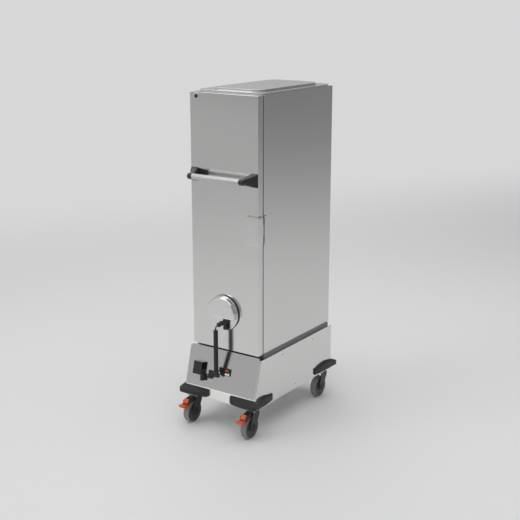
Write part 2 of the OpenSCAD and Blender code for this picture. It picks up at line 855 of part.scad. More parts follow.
// Brake pedal: ears on the pivots, a leaning plate and a foot pad that stands up at its tip
module pedal(place) {
    ear_x = 17.4;
    color(orange) at_door() translate([place.x, place.y, 0]) {
        both_sides()
            along_x(ear_x, ear_x + 3)
                difference() {
                    link_shape([pedal_y, pedal_z], 7, [-92, 137], 6);
                    translate([pedal_y, pedal_z]) circle(r = 3 + fit_gap);
                }
        along_x(-ear_x - 3, ear_x + 3)
            polygon([
                [-88, 136], [-90, 142], [-104, 128.5], [-112, 124], [-137, 128],
                [-139, 126], [-139, 120], [-124, 107], [-110, 107], [-98, 122]
            ]);
        along_x(-15.5, 15.5)
            polygon([[-83, 149.5], [-87, 153.5], [-106, 132], [-102, 126], [-94, 134]]);
    }
}

module fork_front_left() { fork(caster_places[0], true); }
module fork_front_right() { fork(caster_places[1], true); }
module fork_rear_left() { fork(caster_places[2], false); }
module fork_rear_right() { fork(caster_places[3], false); }
module hub_front_left() { hub(caster_places[0]); }
module hub_front_right() { hub(caster_places[1]); }
module hub_rear_left() { hub(caster_places[2]); }
module hub_rear_right() { hub(caster_places[3]); }
module tyre_front_left() { tyre(caster_places[0]); }
module tyre_front_right() { tyre(caster_places[1]); }
module tyre_rear_left() { tyre(caster_places[2]); }
module tyre_rear_right() { tyre(caster_places[3]); }
module pedal_front_left() { pedal(caster_places[0]); }
module pedal_front_right() { pedal(caster_places[1]); }

cabinet_shell();
back_panel();
front_frame();
inner_liner();
wall_foam();
top_deck();
tray_posts();
tray_runners();
hinge_lower_leaves();
latch_keeper();
spacer_frame();
base_cover();
base_front_panel();
chassis_tray();
bumpers_front();
bumpers_rear();
caster_plates();
socket_block();
indicator_windows();
inlet_box();
electrical_box();
cover_screws();
rocker_switch();
door_skin();
door_foam();
door_liner();
door_gasket();
hinge_upper_leaves();
bar_brackets();
push_bar();
latch_case();
corner_cap();
module_gasket();
module_flange();
module_cover();
fan_motor();
fan_duct();
heating_rings();
fan_guard();
module_connector();
module_lead();
lead_hose();
latch_hinge();
latch_paddle();
latch_tongue();
fan_impeller();
fork_front_left();
hub_front_left();
tyre_front_left();
pedal_front_left();
fork_front_right();
hub_front_right();
tyre_front_right();
pedal_front_right();
fork_rear_left();
hub_rear_left();
tyre_rear_left();
fork_rear_right();
hub_rear_right();
tyre_rear_right();
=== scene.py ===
"""Looks of the enclosed meal tray cart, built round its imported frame.

Sizes are in millimetres from the door's face (x to the latch side, y towards the back, z up
from the floor) until Form.build() turns them into metres in the part's own frame.
"""

import json
import logging
import math
from dataclasses import dataclass, field
from enum import Enum
from typing import Any, Iterable, Sequence

import bmesh
import bpy
import numpy as np
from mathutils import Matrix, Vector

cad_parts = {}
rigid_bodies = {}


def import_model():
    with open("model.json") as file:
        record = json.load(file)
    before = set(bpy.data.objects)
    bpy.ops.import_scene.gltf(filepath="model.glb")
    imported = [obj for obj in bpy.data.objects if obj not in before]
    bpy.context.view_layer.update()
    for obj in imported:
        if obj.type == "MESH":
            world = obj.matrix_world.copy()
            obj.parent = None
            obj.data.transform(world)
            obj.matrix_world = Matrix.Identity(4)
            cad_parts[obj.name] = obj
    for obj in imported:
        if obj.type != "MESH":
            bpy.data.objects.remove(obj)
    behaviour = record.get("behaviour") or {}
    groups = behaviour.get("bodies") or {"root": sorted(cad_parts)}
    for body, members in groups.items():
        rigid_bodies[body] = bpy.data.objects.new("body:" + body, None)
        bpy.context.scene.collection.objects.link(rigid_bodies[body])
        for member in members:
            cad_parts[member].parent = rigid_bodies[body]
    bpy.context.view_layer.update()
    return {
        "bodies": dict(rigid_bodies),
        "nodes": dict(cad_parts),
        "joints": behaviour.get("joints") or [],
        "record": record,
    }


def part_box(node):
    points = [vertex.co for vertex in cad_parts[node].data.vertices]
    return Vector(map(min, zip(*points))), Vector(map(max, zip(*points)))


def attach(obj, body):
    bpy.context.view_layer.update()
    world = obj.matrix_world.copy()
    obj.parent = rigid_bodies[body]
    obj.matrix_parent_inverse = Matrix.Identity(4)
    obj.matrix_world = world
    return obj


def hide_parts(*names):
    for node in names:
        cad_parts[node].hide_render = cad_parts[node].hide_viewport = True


LOG = logging.getLogger("tray_cart")
MM = 0.001
WELD = 2e-6
DOOR_FACE_Y = -316.0
HALF_WIDTH = 242.0
SLOPE_TOP, SLOPE_FOOT, SLOPE_RUN = 450.0, 228.0, 57.0
RIGHT, BACK, FRONT, UP = (1, 0, 0), (0, 1, 0), (0, -1, 0), (0, 0, 1)
CORNERS = (
    ("front_left", -198.0, -17.0),
    ("front_right", 198.0, -17.0),
    ("rear_left", -198.0, 707.0),
    ("rear_right", 198.0, 707.0),
)


class Axis(Enum):
    """An axis of the cart; the value is its place among x, y and z."""

    X = 0
    Y = 1
    Z = 2


# --- Shader writing --------------------------------------------------------


class Wire:
    """An output socket of a material's nodes, with arithmetic that adds Math nodes."""

    def __init__(self, tree: "Tree", socket: Any) -> None:
        """Keeps the tree and the socket."""
        self.tree = tree
        self.socket = socket

    def _math(self, operation: str, *values: Any) -> "Wire":
        """Adds one Math node. Args: operation, its values. Returns: its output."""
        return self.tree.node("ShaderNodeMath", {"operation": operation}, dict(enumerate(values)))

    def __add__(self, other: Any) -> "Wire":
        """Sum."""
        return self._math("ADD", self, other)

    __radd__ = __add__

    def __sub__(self, other: Any) -> "Wire":
        """Difference."""
        return self._math("SUBTRACT", self, other)

    def __rsub__(self, other: Any) -> "Wire":
        """Reflected difference, so that 1 - mask works."""
        return self._math("SUBTRACT", other, self)

    def __mul__(self, other: Any) -> "Wire":
        """Product."""
        return self._math("MULTIPLY", self, other)

    __rmul__ = __mul__

    def step(self, low: float, high: float) -> "Wire":
        """Smooth step. Args: low and high, where it is 0 and 1. Returns: the step."""
        settings = {"interpolation_type": "SMOOTHSTEP"}
        values = {"Value": self, "From Min": low, "From Max": high}
        return self.tree.node("ShaderNodeMapRange", settings, values)


class Tree:
    """The node tree of one material or of the world."""

    def __init__(self, owner: Any) -> None:
        """Empties the owner's tree. Args: owner, a material or a world."""
        owner.use_nodes = True
        self.nodes = owner.node_tree.nodes
        self.links = owner.node_tree.links
        self.nodes.clear()

    def node(
        self,
        kind: str,
        settings: dict[str, Any] | None = None,
        inputs: dict[Any, Any] | None = None,
        output: Any = 0,
    ) -> Wire:
        """Adds any node.

        Args:
            kind: Blender's type name of the node.
            settings: properties, set before its inputs; "stops" are a ramp's stops.
            inputs: numbers, tuples or wires by the name or the place of their socket.
            output: the name or the place of the output that is wanted.

        Returns:
            The wire from that output.
        """
        made = self.nodes.new(kind)
        for name, value in (settings or {}).items():
            if name == "stops":
                ramp = made.color_ramp.elements
                while len(ramp) < len(value):
                    ramp.new(0.5)
                for element, (place, colour) in zip(ramp, value):
                    element.position, element.color = place, colour
            else:
                setattr(made, name, value)
        for name, value in (inputs or {}).items():
            socket = made.inputs[name]
            if isinstance(value, Wire):
                self.links.new(value.socket, socket)
            else:
                socket.default_value = value
        return Wire(self, made.outputs[output] if len(made.outputs) else None)

    def mix(self, share: Any, first: Any, second: Any) -> Wire:
        """Mixes two colours. Args: share of the second, both colours. Returns: the colour."""
        return self.node(
            "ShaderNodeMix", {"data_type": "RGBA"}, {0: share, 6: first, 7: second}, 2
        )

    def place(self, scale: float | Sequence[float]) -> Wire:
        """Object coordinates, scaled. Args: scale, one or one an axis. Returns: the vector."""
        spot = self.node("ShaderNodeTexCoord", output="Object")
        sizes = np.broadcast_to(np.asarray(scale, float), 3).tolist()
        return self.node("ShaderNodeMapping", inputs={"Vector": spot, "Scale": sizes})

    def noise(
        self, scale: float | Sequence[float], detail: float = 2.0, rough: float = 0.5
    ) -> Wire:
        """Noise from 0 to 1. Args: waves a metre, detail, roughness. Returns: it."""
        values = {"Vector": self.place(scale), "Scale": 1.0, "Detail": detail, "Roughness": rough}
        return self.node("ShaderNodeTexNoise", inputs=values)

    def cells(self, scale: float, **settings: Any) -> Wire:
        """Distance to scattered points. Args: points a metre, settings. Returns: it."""
        values = {"Vector": self.place(scale), "Scale": 1.0}
        return self.node("ShaderNodeTexVoronoi", settings, values)

    def dot(self, vector: Wire, other: Sequence[float]) -> Wire:
        """Dot product. Args: vector, a fixed vector. Returns: it."""
        values = {0: vector, 1: other}
        return self.node("ShaderNodeVectorMath", {"operation": "DOT_PRODUCT"}, values, 1)

    def bump(self, height: Wire, depth: float, strength: float = 1.0) -> Wire:
        """A bump. Args: height, depth in metres, strength. Returns: the normal."""
        values = {"Height": height, "Distance": depth, "Strength": strength}
        return self.node("ShaderNodeBump", inputs=values)

    def surface(self, **inputs: Any) -> None:
        """Ends the material in one Principled shader. Args: inputs, named with _ for spaces."""
        named = {name.replace("_", " "): value for name, value in inputs.items()}
        shader = self.node("ShaderNodeBsdfPrincipled", inputs=named)
        self.node("ShaderNodeOutputMaterial", inputs={"Surface": shader})


def grey(level: float, warm: float = 0.0) -> tuple[float, float, float, float]:
    """A grey. Args: level, linear; warm, how much more red than blue. Returns: the colour."""
    return (level * (1 + warm), level, level * (1 - warm), 1.0)


def tinted(colour: Sequence[float], factor: float, lift: float = 0.0) -> tuple[float, ...]:
    """A paler or deeper colour. Args: colour, factor, lift. Returns: factor times it plus lift."""
    return tuple(min(1.0, c * factor + lift) for c in colour[:3]) + (1.0,)


@dataclass(frozen=True)
class Finish:
    """What every finish has: its name, its colour and the record's slot that it stands for."""

    name: str
    colour: tuple[float, float, float, float]
    slot: str

    def material(self) -> Any:
        """The finish's material, made when it is first asked for. Returns: the material."""
        name = "look_" + self.name
        found = bpy.data.materials.get(name)
        if found is None:
            found = bpy.data.materials.new(name)
            self.write(Tree(found))
        return found

    def write(self, tree: Tree) -> None:
        """Writes the nodes. Args: tree, which is empty."""
        raise NotImplementedError


@dataclass(frozen=True)
class BrushedSteel(Finish):
    """Stainless sheet: fine strokes along one axis, and clouds from wiping."""

    roughness: float = 0.16
    along: Axis = Axis.Z
    stroke: float = 0.03

    def write(self, tree: Tree) -> None:
        """Strokes are noise, short across the grain and long along it. Args: tree, empty."""
        fine, broad = [1300.0] * 3, [190.0] * 3
        fine[self.along.value], broad[self.along.value] = 9.0, 3.0
        strokes = tree.noise(fine, 3.0, 0.6)
        bands = tree.noise(broad)
        clouds = tree.noise((3.1, 3.1, 2.3), 3.0, 0.55)
        dim, lit = tinted(self.colour, 0.955), tinted(self.colour, 1.03)
        tree.surface(
            Base_Color=tree.mix(strokes * 0.55 + bands * 0.2 + clouds * 0.25, dim, lit),
            Metallic=1.0,
            Roughness=self.roughness - 0.02 + clouds * 0.03 + strokes * self.stroke,
            Normal=tree.bump(strokes * 0.7 + bands * 0.3, 0.00002, 0.12),
        )


@dataclass(frozen=True)
class MouldedPlastic(Finish):
    """Moulded plastic with a fine eroded grain that wears smoother on a larger scale."""

    roughness: float = 0.42
    grain: float = 900.0
    depth: float = 0.00006

    def write(self, tree: Tree) -> None:
        """Grain is cells and noise; colour and gloss follow broad clouds. Args: tree, empty."""
        cells = tree.cells(self.grain, feature="SMOOTH_F1")
        speckle = tree.noise(self.grain * 1.7)
        clouds = tree.noise(14.0, 3.0)
        pale, deep = tinted(self.colour, 1.22, 0.002), tinted(self.colour, 0.86)
        tree.surface(
            Base_Color=tree.mix(clouds * 0.6 + speckle * 0.4, deep, pale),
            Roughness=self.roughness - 0.05 + clouds * 0.1,
            Normal=tree.bump(cells * 0.7 + speckle * 0.3, self.depth, 0.35),
        )


@dataclass(frozen=True)
class Rubber(Finish):
    """Elastic rubber: matt, dusty where the clouds are, with a very fine tooth."""

    roughness: float = 0.68
    dust: float = 0.25

    def write(self, tree: Tree) -> None:
        """Dust is noise through a smooth step, pale over the colour. Args: tree, empty."""
        tooth = tree.noise(1600.0, 3.0, 0.6)
        clouds = tree.noise(22.0, 4.0, 0.6)
        dusty = tinted(self.colour, 1 - self.dust, 0.5 * self.dust)
        tree.surface(
            Base_Color=tree.mix(clouds.step(0.42, 0.78) * 0.6, self.colour, dusty),
            Roughness=self.roughness + clouds * 0.12,
            Normal=tree.bump(tooth, 0.00005, 0.4),
        )


@dataclass(frozen=True)
class PlainMetal(Finish):
    """Cast, plated or anodised metal with a soft satin mottle."""

    roughness: float = 0.3
    metallic: float = 1.0
    mottle: float = 260.0

    def write(self, tree: Tree) -> None:
        """Mottle is even noise in colour, gloss and a faint bump. Args: tree, empty."""
        spots = tree.noise(self.mottle, 3.0, 0.6)
        clouds = tree.noise(18.0)
        tree.surface(
            Base_Color=tree.mix(spots * 0.6 + clouds * 0.4, tinted(self.colour, 0.84), self.colour),
            Metallic=self.metallic,
            Roughness=self.roughness - 0.04 + spots * 0.08,
            Normal=tree.bump(spots, 0.00003, 0.25),
        )


@dataclass(frozen=True)
class RigidFoam(Finish):
    """Cut face of rigid foam with open cells; the cells' pits carry painted shade."""

    def write(self, tree: Tree) -> None:
        """Cells darken the colour where they are deep, as painted shade in the pits. Args: tree,
        empty.
        """
        cells = tree.cells(420.0)
        tree.surface(
            # Painted shade: the cell pits are drawn darker than the foam's own colour.
            Base_Color=tree.mix(cells, tinted(self.colour, 0.7), self.colour),
            Roughness=0.9,
            Normal=tree.bump(cells, 0.0006, 0.6),
        )


SKIN_STEEL = BrushedSteel("skin_steel", grey(0.72, 0.006), "stainless", 0.15)
ROOF_STEEL = BrushedSteel("roof_steel", grey(0.74, 0.006), "stainless", 0.17, Axis.Y)
BASE_STEEL = BrushedSteel("base_steel", grey(0.76, 0.006), "stainless_light", 0.17, Axis.Y)
PANEL_STEEL = BrushedSteel("panel_steel", grey(0.72, 0.006), "stainless", 0.15, Axis.X)
CHASSIS_STEEL = BrushedSteel("chassis_steel", grey(0.94, 0.01), "chassis_steel", 0.24, Axis.X)
INNER_STEEL = BrushedSteel("inner_steel", grey(0.76), "stainless_light", 0.26, Axis.Y, 0.05)
COVER_STEEL = BrushedSteel("cover_steel", grey(0.74, 0.004), "stainless", 0.17, Axis.X, 0.02)
BLACK_PLASTIC = MouldedPlastic("black_plastic", grey(0.016), "black_plastic", 0.38)
BRACKET_PLASTIC = MouldedPlastic("bracket_plastic", grey(0.018), "black_plastic", 0.32, 1100.0)
BUMPER_PLASTIC = MouldedPlastic(
    "bumper_plastic", grey(0.013, -0.02), "bumper", 0.46, 700.0, 0.0001
)
# The spacer's dark grey is partly its own colour and partly painted shade of the recess between the
# cabinet and the base.
SPACER_GREY_AND_RECESS_SHADE = MouldedPlastic("spacer_plastic", grey(0.21), "recess_grey", 0.5)
FRAME_PLASTIC = MouldedPlastic("frame_plastic", grey(0.10), "recess_grey", 0.55)
HUB_PLASTIC = MouldedPlastic("hub_plastic", grey(0.060, -0.03), "dark_plastic", 0.4)
BOX_PLASTIC = MouldedPlastic("box_plastic", grey(0.035), "dark_plastic", 0.5)
ORANGE_PLASTIC = MouldedPlastic(
    "orange_plastic", (0.68, 0.088, 0.003, 1.0), "orange_plastic", 0.36, 1200.0, 0.00003
)
WINDOW_PLASTIC = MouldedPlastic(
    "window_plastic", grey(0.86), "white_window", 0.2, 1500.0, 0.00001
)
FORK_PAINT = MouldedPlastic(
    "fork_paint", grey(0.028, -0.02), "fork_black", 0.34, 1400.0, 0.00003
)
TYRE_RUBBER = Rubber("tyre_rubber", grey(0.25, 0.01), "tyre_grey", 0.6, 0.12)
BLACK_RUBBER = Rubber("black_rubber", grey(0.014), "black_rubber", 0.5, 0.05)
HOSE_RUBBER = Rubber("hose_rubber", grey(0.008), "black_rubber", 0.48, 0.03)
BAR_ALUMINIUM = PlainMetal("bar_aluminium", grey(0.66), "aluminium", 0.34, 1.0, 700.0)
IMPELLER_ALUMINIUM = PlainMetal("impeller_aluminium", grey(0.7), "aluminium", 0.4)
ZINC = PlainMetal("zinc", grey(0.62, -0.01), "zinc", 0.34)
# A paler copy of zinc: partly the button's own metal and partly a painted highlight.
ZINC_WITH_PAINTED_HIGHLIGHT = PlainMetal("bright_zinc", grey(0.85), "zinc", 0.25)
HEATER_SHEATH = PlainMetal("heater_sheath", (0.12, 0.10, 0.085, 1.0), "heater", 0.45, 0.8)
FOAM = RigidFoam("foam", (0.86, 0.76, 0.48, 1.0), "foam")


# --- Shapes ----------------------------------------------------------------


def metres(points: Any) -> np.ndarray:
    """Millimetres from the door's face, as metres in the frame. Args: points. Returns: them."""
    return (np.asarray(points, float) + (0, DOOR_FACE_Y, 0)) * MM


def full_turn(count: int) -> np.ndarray:
    """Even angles once round. Args: count. Returns: radians, (count,)."""
    return np.linspace(0, 2 * math.pi, count, endpoint=False)


def raised(flat: np.ndarray, level: Any, axis: Axis = Axis.Z) -> np.ndarray:
    """Flat points with their third coordinate. Args: (..., 2), level, its axis. Returns: them."""
    return np.insert(flat, axis.value, np.broadcast_to(level, flat.shape[:-1]), axis=-1)


def slope(z: np.ndarray | float) -> np.ndarray:
    """y of the sloped panel's face: a straight line down to its foot. Args: z. Returns: y."""
    share = (SLOPE_TOP - np.maximum(z, SLOPE_FOOT)) / (SLOPE_TOP - SLOPE_FOOT)
    return -3 - share * SLOPE_RUN


def arc(
    centre: Sequence[float], radius: float, start: float, end: float, steps: int
) -> np.ndarray:
    """Points on a circle at even angles. Args: centre, radius, degrees, steps. Returns: (n, 2)."""
    turn = np.radians(np.linspace(start, end, steps + 1))
    return np.stack((centre[0] + radius * np.cos(turn), centre[1] + radius * np.sin(turn)), -1)


def rounded(
    corners: Sequence[Sequence[float]], radii: float | Sequence[float], steps: int = 5
) -> np.ndarray:
    """A closed outline with a tangent arc at each corner.

    The arc's points lie on a quadratic curve between the two tangent points, which stand the
    radius times the cotangent of half the corner's angle from the corner.

    Args:
        corners: (n, 2), in order.
        radii: one radius, or one a corner.
        steps: pieces in each arc.

    Returns:
        The outline's points, (m, 2).
    """
    at = np.asarray(corners, float)
    size = np.broadcast_to(np.asarray(radii, float), len(at))
    before, after = np.roll(at, 1, 0) - at, np.roll(at, -1, 0) - at
    len_b, len_a = np.linalg.norm(before, axis=1), np.linalg.norm(after, axis=1)
    u, v = before / len_b[:, None], after / len_a[:, None]
    half = np.arccos(np.clip((u * v).sum(1), -1, 1)) / 2
    cut = np.minimum(size / np.maximum(np.tan(half), 1e-3), 0.48 * np.minimum(len_b, len_a))
    p, q = at + u * cut[:, None], at + v * cut[:, None]
    t = np.linspace(0, 1, steps + 1)[None, :, None]
    weight = np.sin(half)[:, None, None]
    top = (1 - t) ** 2 * p[:, None] + 2 * t * (1 - t) * weight * at[:, None] + t**2 * q[:, None]
    low = (1 - t) ** 2 + 2 * t * (1 - t) * weight + t**2
    return (top / low).reshape(-1, 2)


def rectangle(
    a0: float, b0: float, a1: float, b1: float, radius: float, steps: int = 5
) -> np.ndarray:
    """A rectangle with round corners. Args: its corners, radius, steps. Returns: (n, 2)."""
    return rounded([(a0, b0), (a1, b0), (a1, b1), (a0, b1)], radius, steps)


def capsule(
    a: Sequence[float], ra: float, b: Sequence[float], rb: float, steps: int = 14
) -> np.ndarray:
    """Outline round two circles and their outer tangents. Args: centres, radii. Returns: (n, 2)."""
    way = np.subtract(b, a)
    turn = math.degrees(math.atan2(way[1], way[0]))
    lean = math.degrees(math.acos((ra - rb) / np.linalg.norm(way)))
    far = arc(b, rb, turn - lean, turn + lean, steps)
    return np.concatenate((far, arc(a, ra, turn + lean, turn + 360 - lean, steps)))


def inset(outline: np.ndarray, depth: float) -> np.ndarray:
    """Moves an outline inwards along its mitres. Args: outline, depth. Returns: it, moved.

    A point goes by depth over the cosine of half the angle between its two edges' normals.
    """
    pts = np.asarray(outline, float)
    nxt = np.roll(pts, -1, 0)
    area = (pts[:, 0] * nxt[:, 1] - nxt[:, 0] * pts[:, 1]).sum()
    way = nxt - pts
    way /= np.maximum(np.linalg.norm(way, axis=1), 1e-9)[:, None]
    out = np.stack((way[:, 1], -way[:, 0]), -1) * (1 if area > 0 else -1)
    prev = np.roll(out, 1, 0)
    return pts - depth * (out + prev) / np.maximum(1 + (out * prev).sum(1), 0.4)[:, None]


def smooth_path(points: Sequence[Sequence[float]], count: int) -> np.ndarray:
    """A smooth curve through points: Catmull-Rom pieces, resampled at even lengths.

    Args:
        points: (n, 3), the places it passes.
        count: points on the curve that is returned.

    Returns:
        The curve, (count, 3).
    """
    p = np.asarray(points, float)
    p = np.concatenate(([2 * p[0] - p[1]], p, [2 * p[-1] - p[-2]]))
    t = np.linspace(0, 1, 24, endpoint=False)[None, :, None]
    a, b, c, d = (p[i : len(p) - 3 + i, None] for i in range(4))
    bend = (2 * a - 5 * b + 4 * c - d) * t**2 + (3 * b - a - 3 * c + d) * t**3
    curve = 0.5 * (2 * b + (c - a) * t + bend)
    curve = np.concatenate((curve.reshape(-1, 3), p[-2:-1]))
    run = np.concatenate(([0], np.cumsum(np.linalg.norm(np.diff(curve, axis=0), axis=1))))
    even = np.linspace(0, run[-1], count)
    return np.stack([np.interp(even, run, curve[:, k]) for k in range(3)], -1)


class Form:
    """A piece being made: shells of points in millimetres from the door's face."""

    def __init__(self) -> None:
        """Starts with no shell."""
        self.points: list[np.ndarray] = []
        self.faces: list[Any] = []
        self.count = 0
        self.cuts: list[tuple[Sequence[float], Sequence[float]]] = []

    def _add(self, points: np.ndarray) -> np.ndarray:
        """Adds points. Args: points, (m, n, 3). Returns: their numbers, (m, n)."""
        flat = points.reshape(-1, 3)
        numbers = np.arange(self.count, self.count + len(flat)).reshape(points.shape[:2])
        self.points.append(flat)
        self.count += len(flat)
        return numbers

    def grid(self, points: np.ndarray, wrap_u: bool = False, wrap_v: bool = False) -> np.ndarray:
        """Adds a surface: one four-sided face between each four neighbours of a grid.

        Args:
            points: (m, n, 3).
            wrap_u: joins the last row to the first.
            wrap_v: joins the last column to the first.

        Returns:
            The numbers of the points, (m, n).
        """
        numbers = self._add(np.asarray(points, float))
        mesh = np.concatenate((numbers, numbers[:1])) if wrap_u else numbers
        mesh = np.concatenate((mesh, mesh[:, :1]), 1) if wrap_v else mesh
        quads = np.stack((mesh[:-1, :-1], mesh[:-1, 1:], mesh[1:, 1:], mesh[1:, :-1]), -1)
        self.faces.extend(quads.reshape(-1, 4).tolist())
        return numbers

    def loft(self, rings: np.ndarray) -> "Form":
        """Adds a closed shell with two end faces. Args: rings, (m, n, 3). Returns: the form."""
        numbers = self.grid(rings, wrap_v=True)
        self.faces.append(numbers[0].tolist())
        self.faces.append(numbers[-1].tolist())
        return self

    def slab(
        self,
        outline: np.ndarray,
        low: float,
        high: float,
        pull: Axis,
        edge: float = 1.0,
        steps: int = 3,
    ) -> "Form":
        """Adds an outline pulled along an axis, with its two rims rounded.

        Each ring of a rim is inset by edge times one minus the sine of an angle, and raised by
        edge times one minus its cosine.

        Args:
            outline: (n, 2), in the two axes other than pull, in x, y, z order.
            low, high: the slab's faces along the axis.
            pull: the axis.
            edge: radius of the rims, or 0.
            steps: rings in each rim.

        Returns:
            The form.
        """
        turn = np.linspace(0, math.pi / 2, steps + 1) if edge > 0 else np.array([math.pi / 2])
        rise = edge * (1 - np.cos(turn)) if edge > 0 else np.zeros(1)
        flat = np.stack([inset(outline, d) for d in edge * (1 - np.sin(turn))])
        rings = np.concatenate((flat, flat[::-1]))
        level = np.concatenate((low + rise, high - rise[::-1]))
        return self.loft(raised(rings, level[:, None], pull))

    def pair(self, outline: np.ndarray, x: float, near: float, far: float, edge: float) -> "Form":
        """Adds a slab on each side of x. Args: outline, x, two distances, edge. Returns: it."""
        for side in (-1, 1):
            self.slab(outline, *sorted((x + side * near, x + side * far)), Axis.X, edge)
        return self

    def lathe(
        self,
        profile: Sequence[Sequence[float]],
        base: Sequence[float],
        axis: Sequence[float],
        turns: int = 48,
        ring: bool = False,
    ) -> "Form":
        """Adds a profile turned about a line.

        A point at radius r and height h goes to base + h axis + r (u cos t + v sin t).

        Args:
            profile: (n, 2), radius and height. A shell starts and ends on the line.
            base: the point at height 0.
            axis: the line's direction.
            turns: faces round the line.
            ring: the profile is closed and stays off the line.

        Returns:
            The form.
        """
        line = np.asarray(axis, float) / np.linalg.norm(axis)
        side = np.cross(line, (0, 0, 1) if abs(line[2]) < 0.9 else (1, 0, 0))
        side /= np.linalg.norm(side)
        other = np.cross(line, side)
        turn = full_turn(turns)
        round_it = np.cos(turn)[:, None] * side + np.sin(turn)[:, None] * other
        shape = np.asarray(profile, float)
        points = np.asarray(base, float) + shape[:, None, 1:] * line + shape[:, None, :1] * round_it
        self.grid(points, wrap_u=ring, wrap_v=True)
        return self

    def tube(self, path: np.ndarray, radius: float | np.ndarray, sides: int = 20) -> "Form":
        """Adds a round tube along a path, closed at its ends.

        Each ring stands across the path's direction, turned as little as possible from the last.

        Args:
            path: (n, 3).
            radius: one, or one a point of the path.
            sides: faces round the tube.

        Returns:
            The form.
        """
        way = np.gradient(path, axis=0)
        way /= np.linalg.norm(way, axis=1)[:, None]
        side = np.empty_like(way)
        side[0] = np.cross(way[0], (1, 0, 0) if abs(way[0][0]) < 0.9 else (0, 1, 0))
        for i in range(1, len(way)):
            side[i] = side[i - 1] - way[i] * (side[i - 1] @ way[i])
        side /= np.linalg.norm(side, axis=1)[:, None]
        other = np.cross(way, side)
        turn = full_turn(sides)[None, :, None]
        size = np.broadcast_to(np.asarray(radius, float), len(path))[:, None, None]
        ring = np.cos(turn) * side[:, None] + np.sin(turn) * other[:, None]
        return self.loft(path[:, None] + size * ring)

    def cut(self, point: Sequence[float], away: Sequence[float]) -> "Form":
        """Cuts off what lies past a plane and closes it. Args: point, normal. Returns: the form."""
        self.cuts.append((point, away))
        return self

    def leant(self, lean: float, origin: Sequence[float]) -> "Form":
        """Turns the shells about the x axis and moves them: (x, y c + z s, z c - y s) + origin.

        Args:
            lean: degrees by which the top goes back.
            origin: where (0, 0, 0) goes.

        Returns:
            The form.
        """
        c, s = math.cos(math.radians(lean)), math.sin(math.radians(lean))
        turn = np.array([(1, 0, 0), (0, c, -s), (0, s, c)])
        self.points = [p @ turn + np.asarray(origin, float) for p in self.points]
        return self

    def mirrored(self) -> "Form":
        """Adds the same shells on the other side of the cart's middle plane. Returns: the form."""
        self.points += [p * (-1, 1, 1) for p in self.points]
        self.faces += [[i + self.count for i in face] for face in self.faces]
        self.count *= 2
        return self

    def build(
        self,
        name: str,
        finish: Finish,
        body: str,
        nodes: Iterable[str] = (),
        sharp: float = 38.0,
        wall: float = 0.0,
    ) -> Any:
        """Makes the Blender object, in metres and in place.

        Args:
            name: the piece's name.
            finish: its finish.
            body: the body it rides on.
            nodes: the frame's nodes that it stands for.
            sharp: edges sharper than this angle, in degrees, stay sharp.
            wall: thickness in millimetres of a sheet that is drawn as a surface.

        Returns:
            The object.
        """
        mesh = bpy.data.meshes.new(name)
        mesh.from_pydata(metres(np.concatenate(self.points)).tolist(), [], self.faces)
        work = bmesh.new()
        work.from_mesh(mesh)
        bmesh.ops.remove_doubles(work, verts=work.verts, dist=WELD)
        for point, away in self.cuts:
            where = metres(point)
            parts = work.verts[:] + work.edges[:] + work.faces[:]
            bmesh.ops.bisect_plane(
                work, geom=parts, plane_co=where, plane_no=away, clear_outer=True
            )
            rim = [e for e in work.edges if e.is_boundary and self._on_plane(e, where, away)]
            bmesh.ops.edgeloop_fill(work, edges=rim)
        bmesh.ops.recalc_face_normals(work, faces=work.faces)
        work.to_mesh(mesh)
        work.free()
        made = add_object(name, mesh)
        if wall:
            sheet = made.modifiers.new("wall", "SOLIDIFY")
            sheet.thickness, sheet.offset, sheet.use_even_offset = wall * MM, -1.0, True
        return finish_piece(made, finish, body, nodes, sharp)

    @staticmethod
    def _on_plane(edge: Any, point: np.ndarray, away: Sequence[float]) -> bool:
        """Whether both ends of an edge lie in a plane. Args: edge, point, normal. Returns: it."""
        normal = np.asarray(away, float)
        return all(abs((np.array(v.co) - point) @ normal) < 1e-6 for v in edge.verts)


def add_object(name: str, data: Any) -> Any:
    """Puts an object into the scene. Args: name; data, its mesh, lamp or view. Returns: it."""
    made = bpy.data.objects.new(name, data)
    bpy.context.scene.collection.objects.link(made)
    return made


def finish_piece(made: Any, finish: Finish, body: str, nodes: Iterable[str], sharp: float) -> Any:
    """Shades, paints and hangs a new piece.

    Args:
        made: the object.
        finish: its finish.
        body: the body it rides on.
        nodes: the frame's nodes that it stands for.
        sharp: the angle past which an edge stays sharp, in degrees.

    Returns:
        The object.
    """
    mesh = made.data
    mesh.polygons.foreach_set("use_smooth", np.ones(len(mesh.polygons), bool))
    mesh.set_sharp_from_angle(angle=math.radians(sharp))
    even = made.modifiers.new("flat_faces", "WEIGHTED_NORMAL")
    even.keep_sharp, even.weight = True, 90
    mesh.materials.clear()
    mesh.materials.append(finish.material())
    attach(made, body)
    if nodes:
        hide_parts(*nodes)
    LOG.info("%s: %d faces on %s", made.name, len(mesh.polygons), body)
    return made


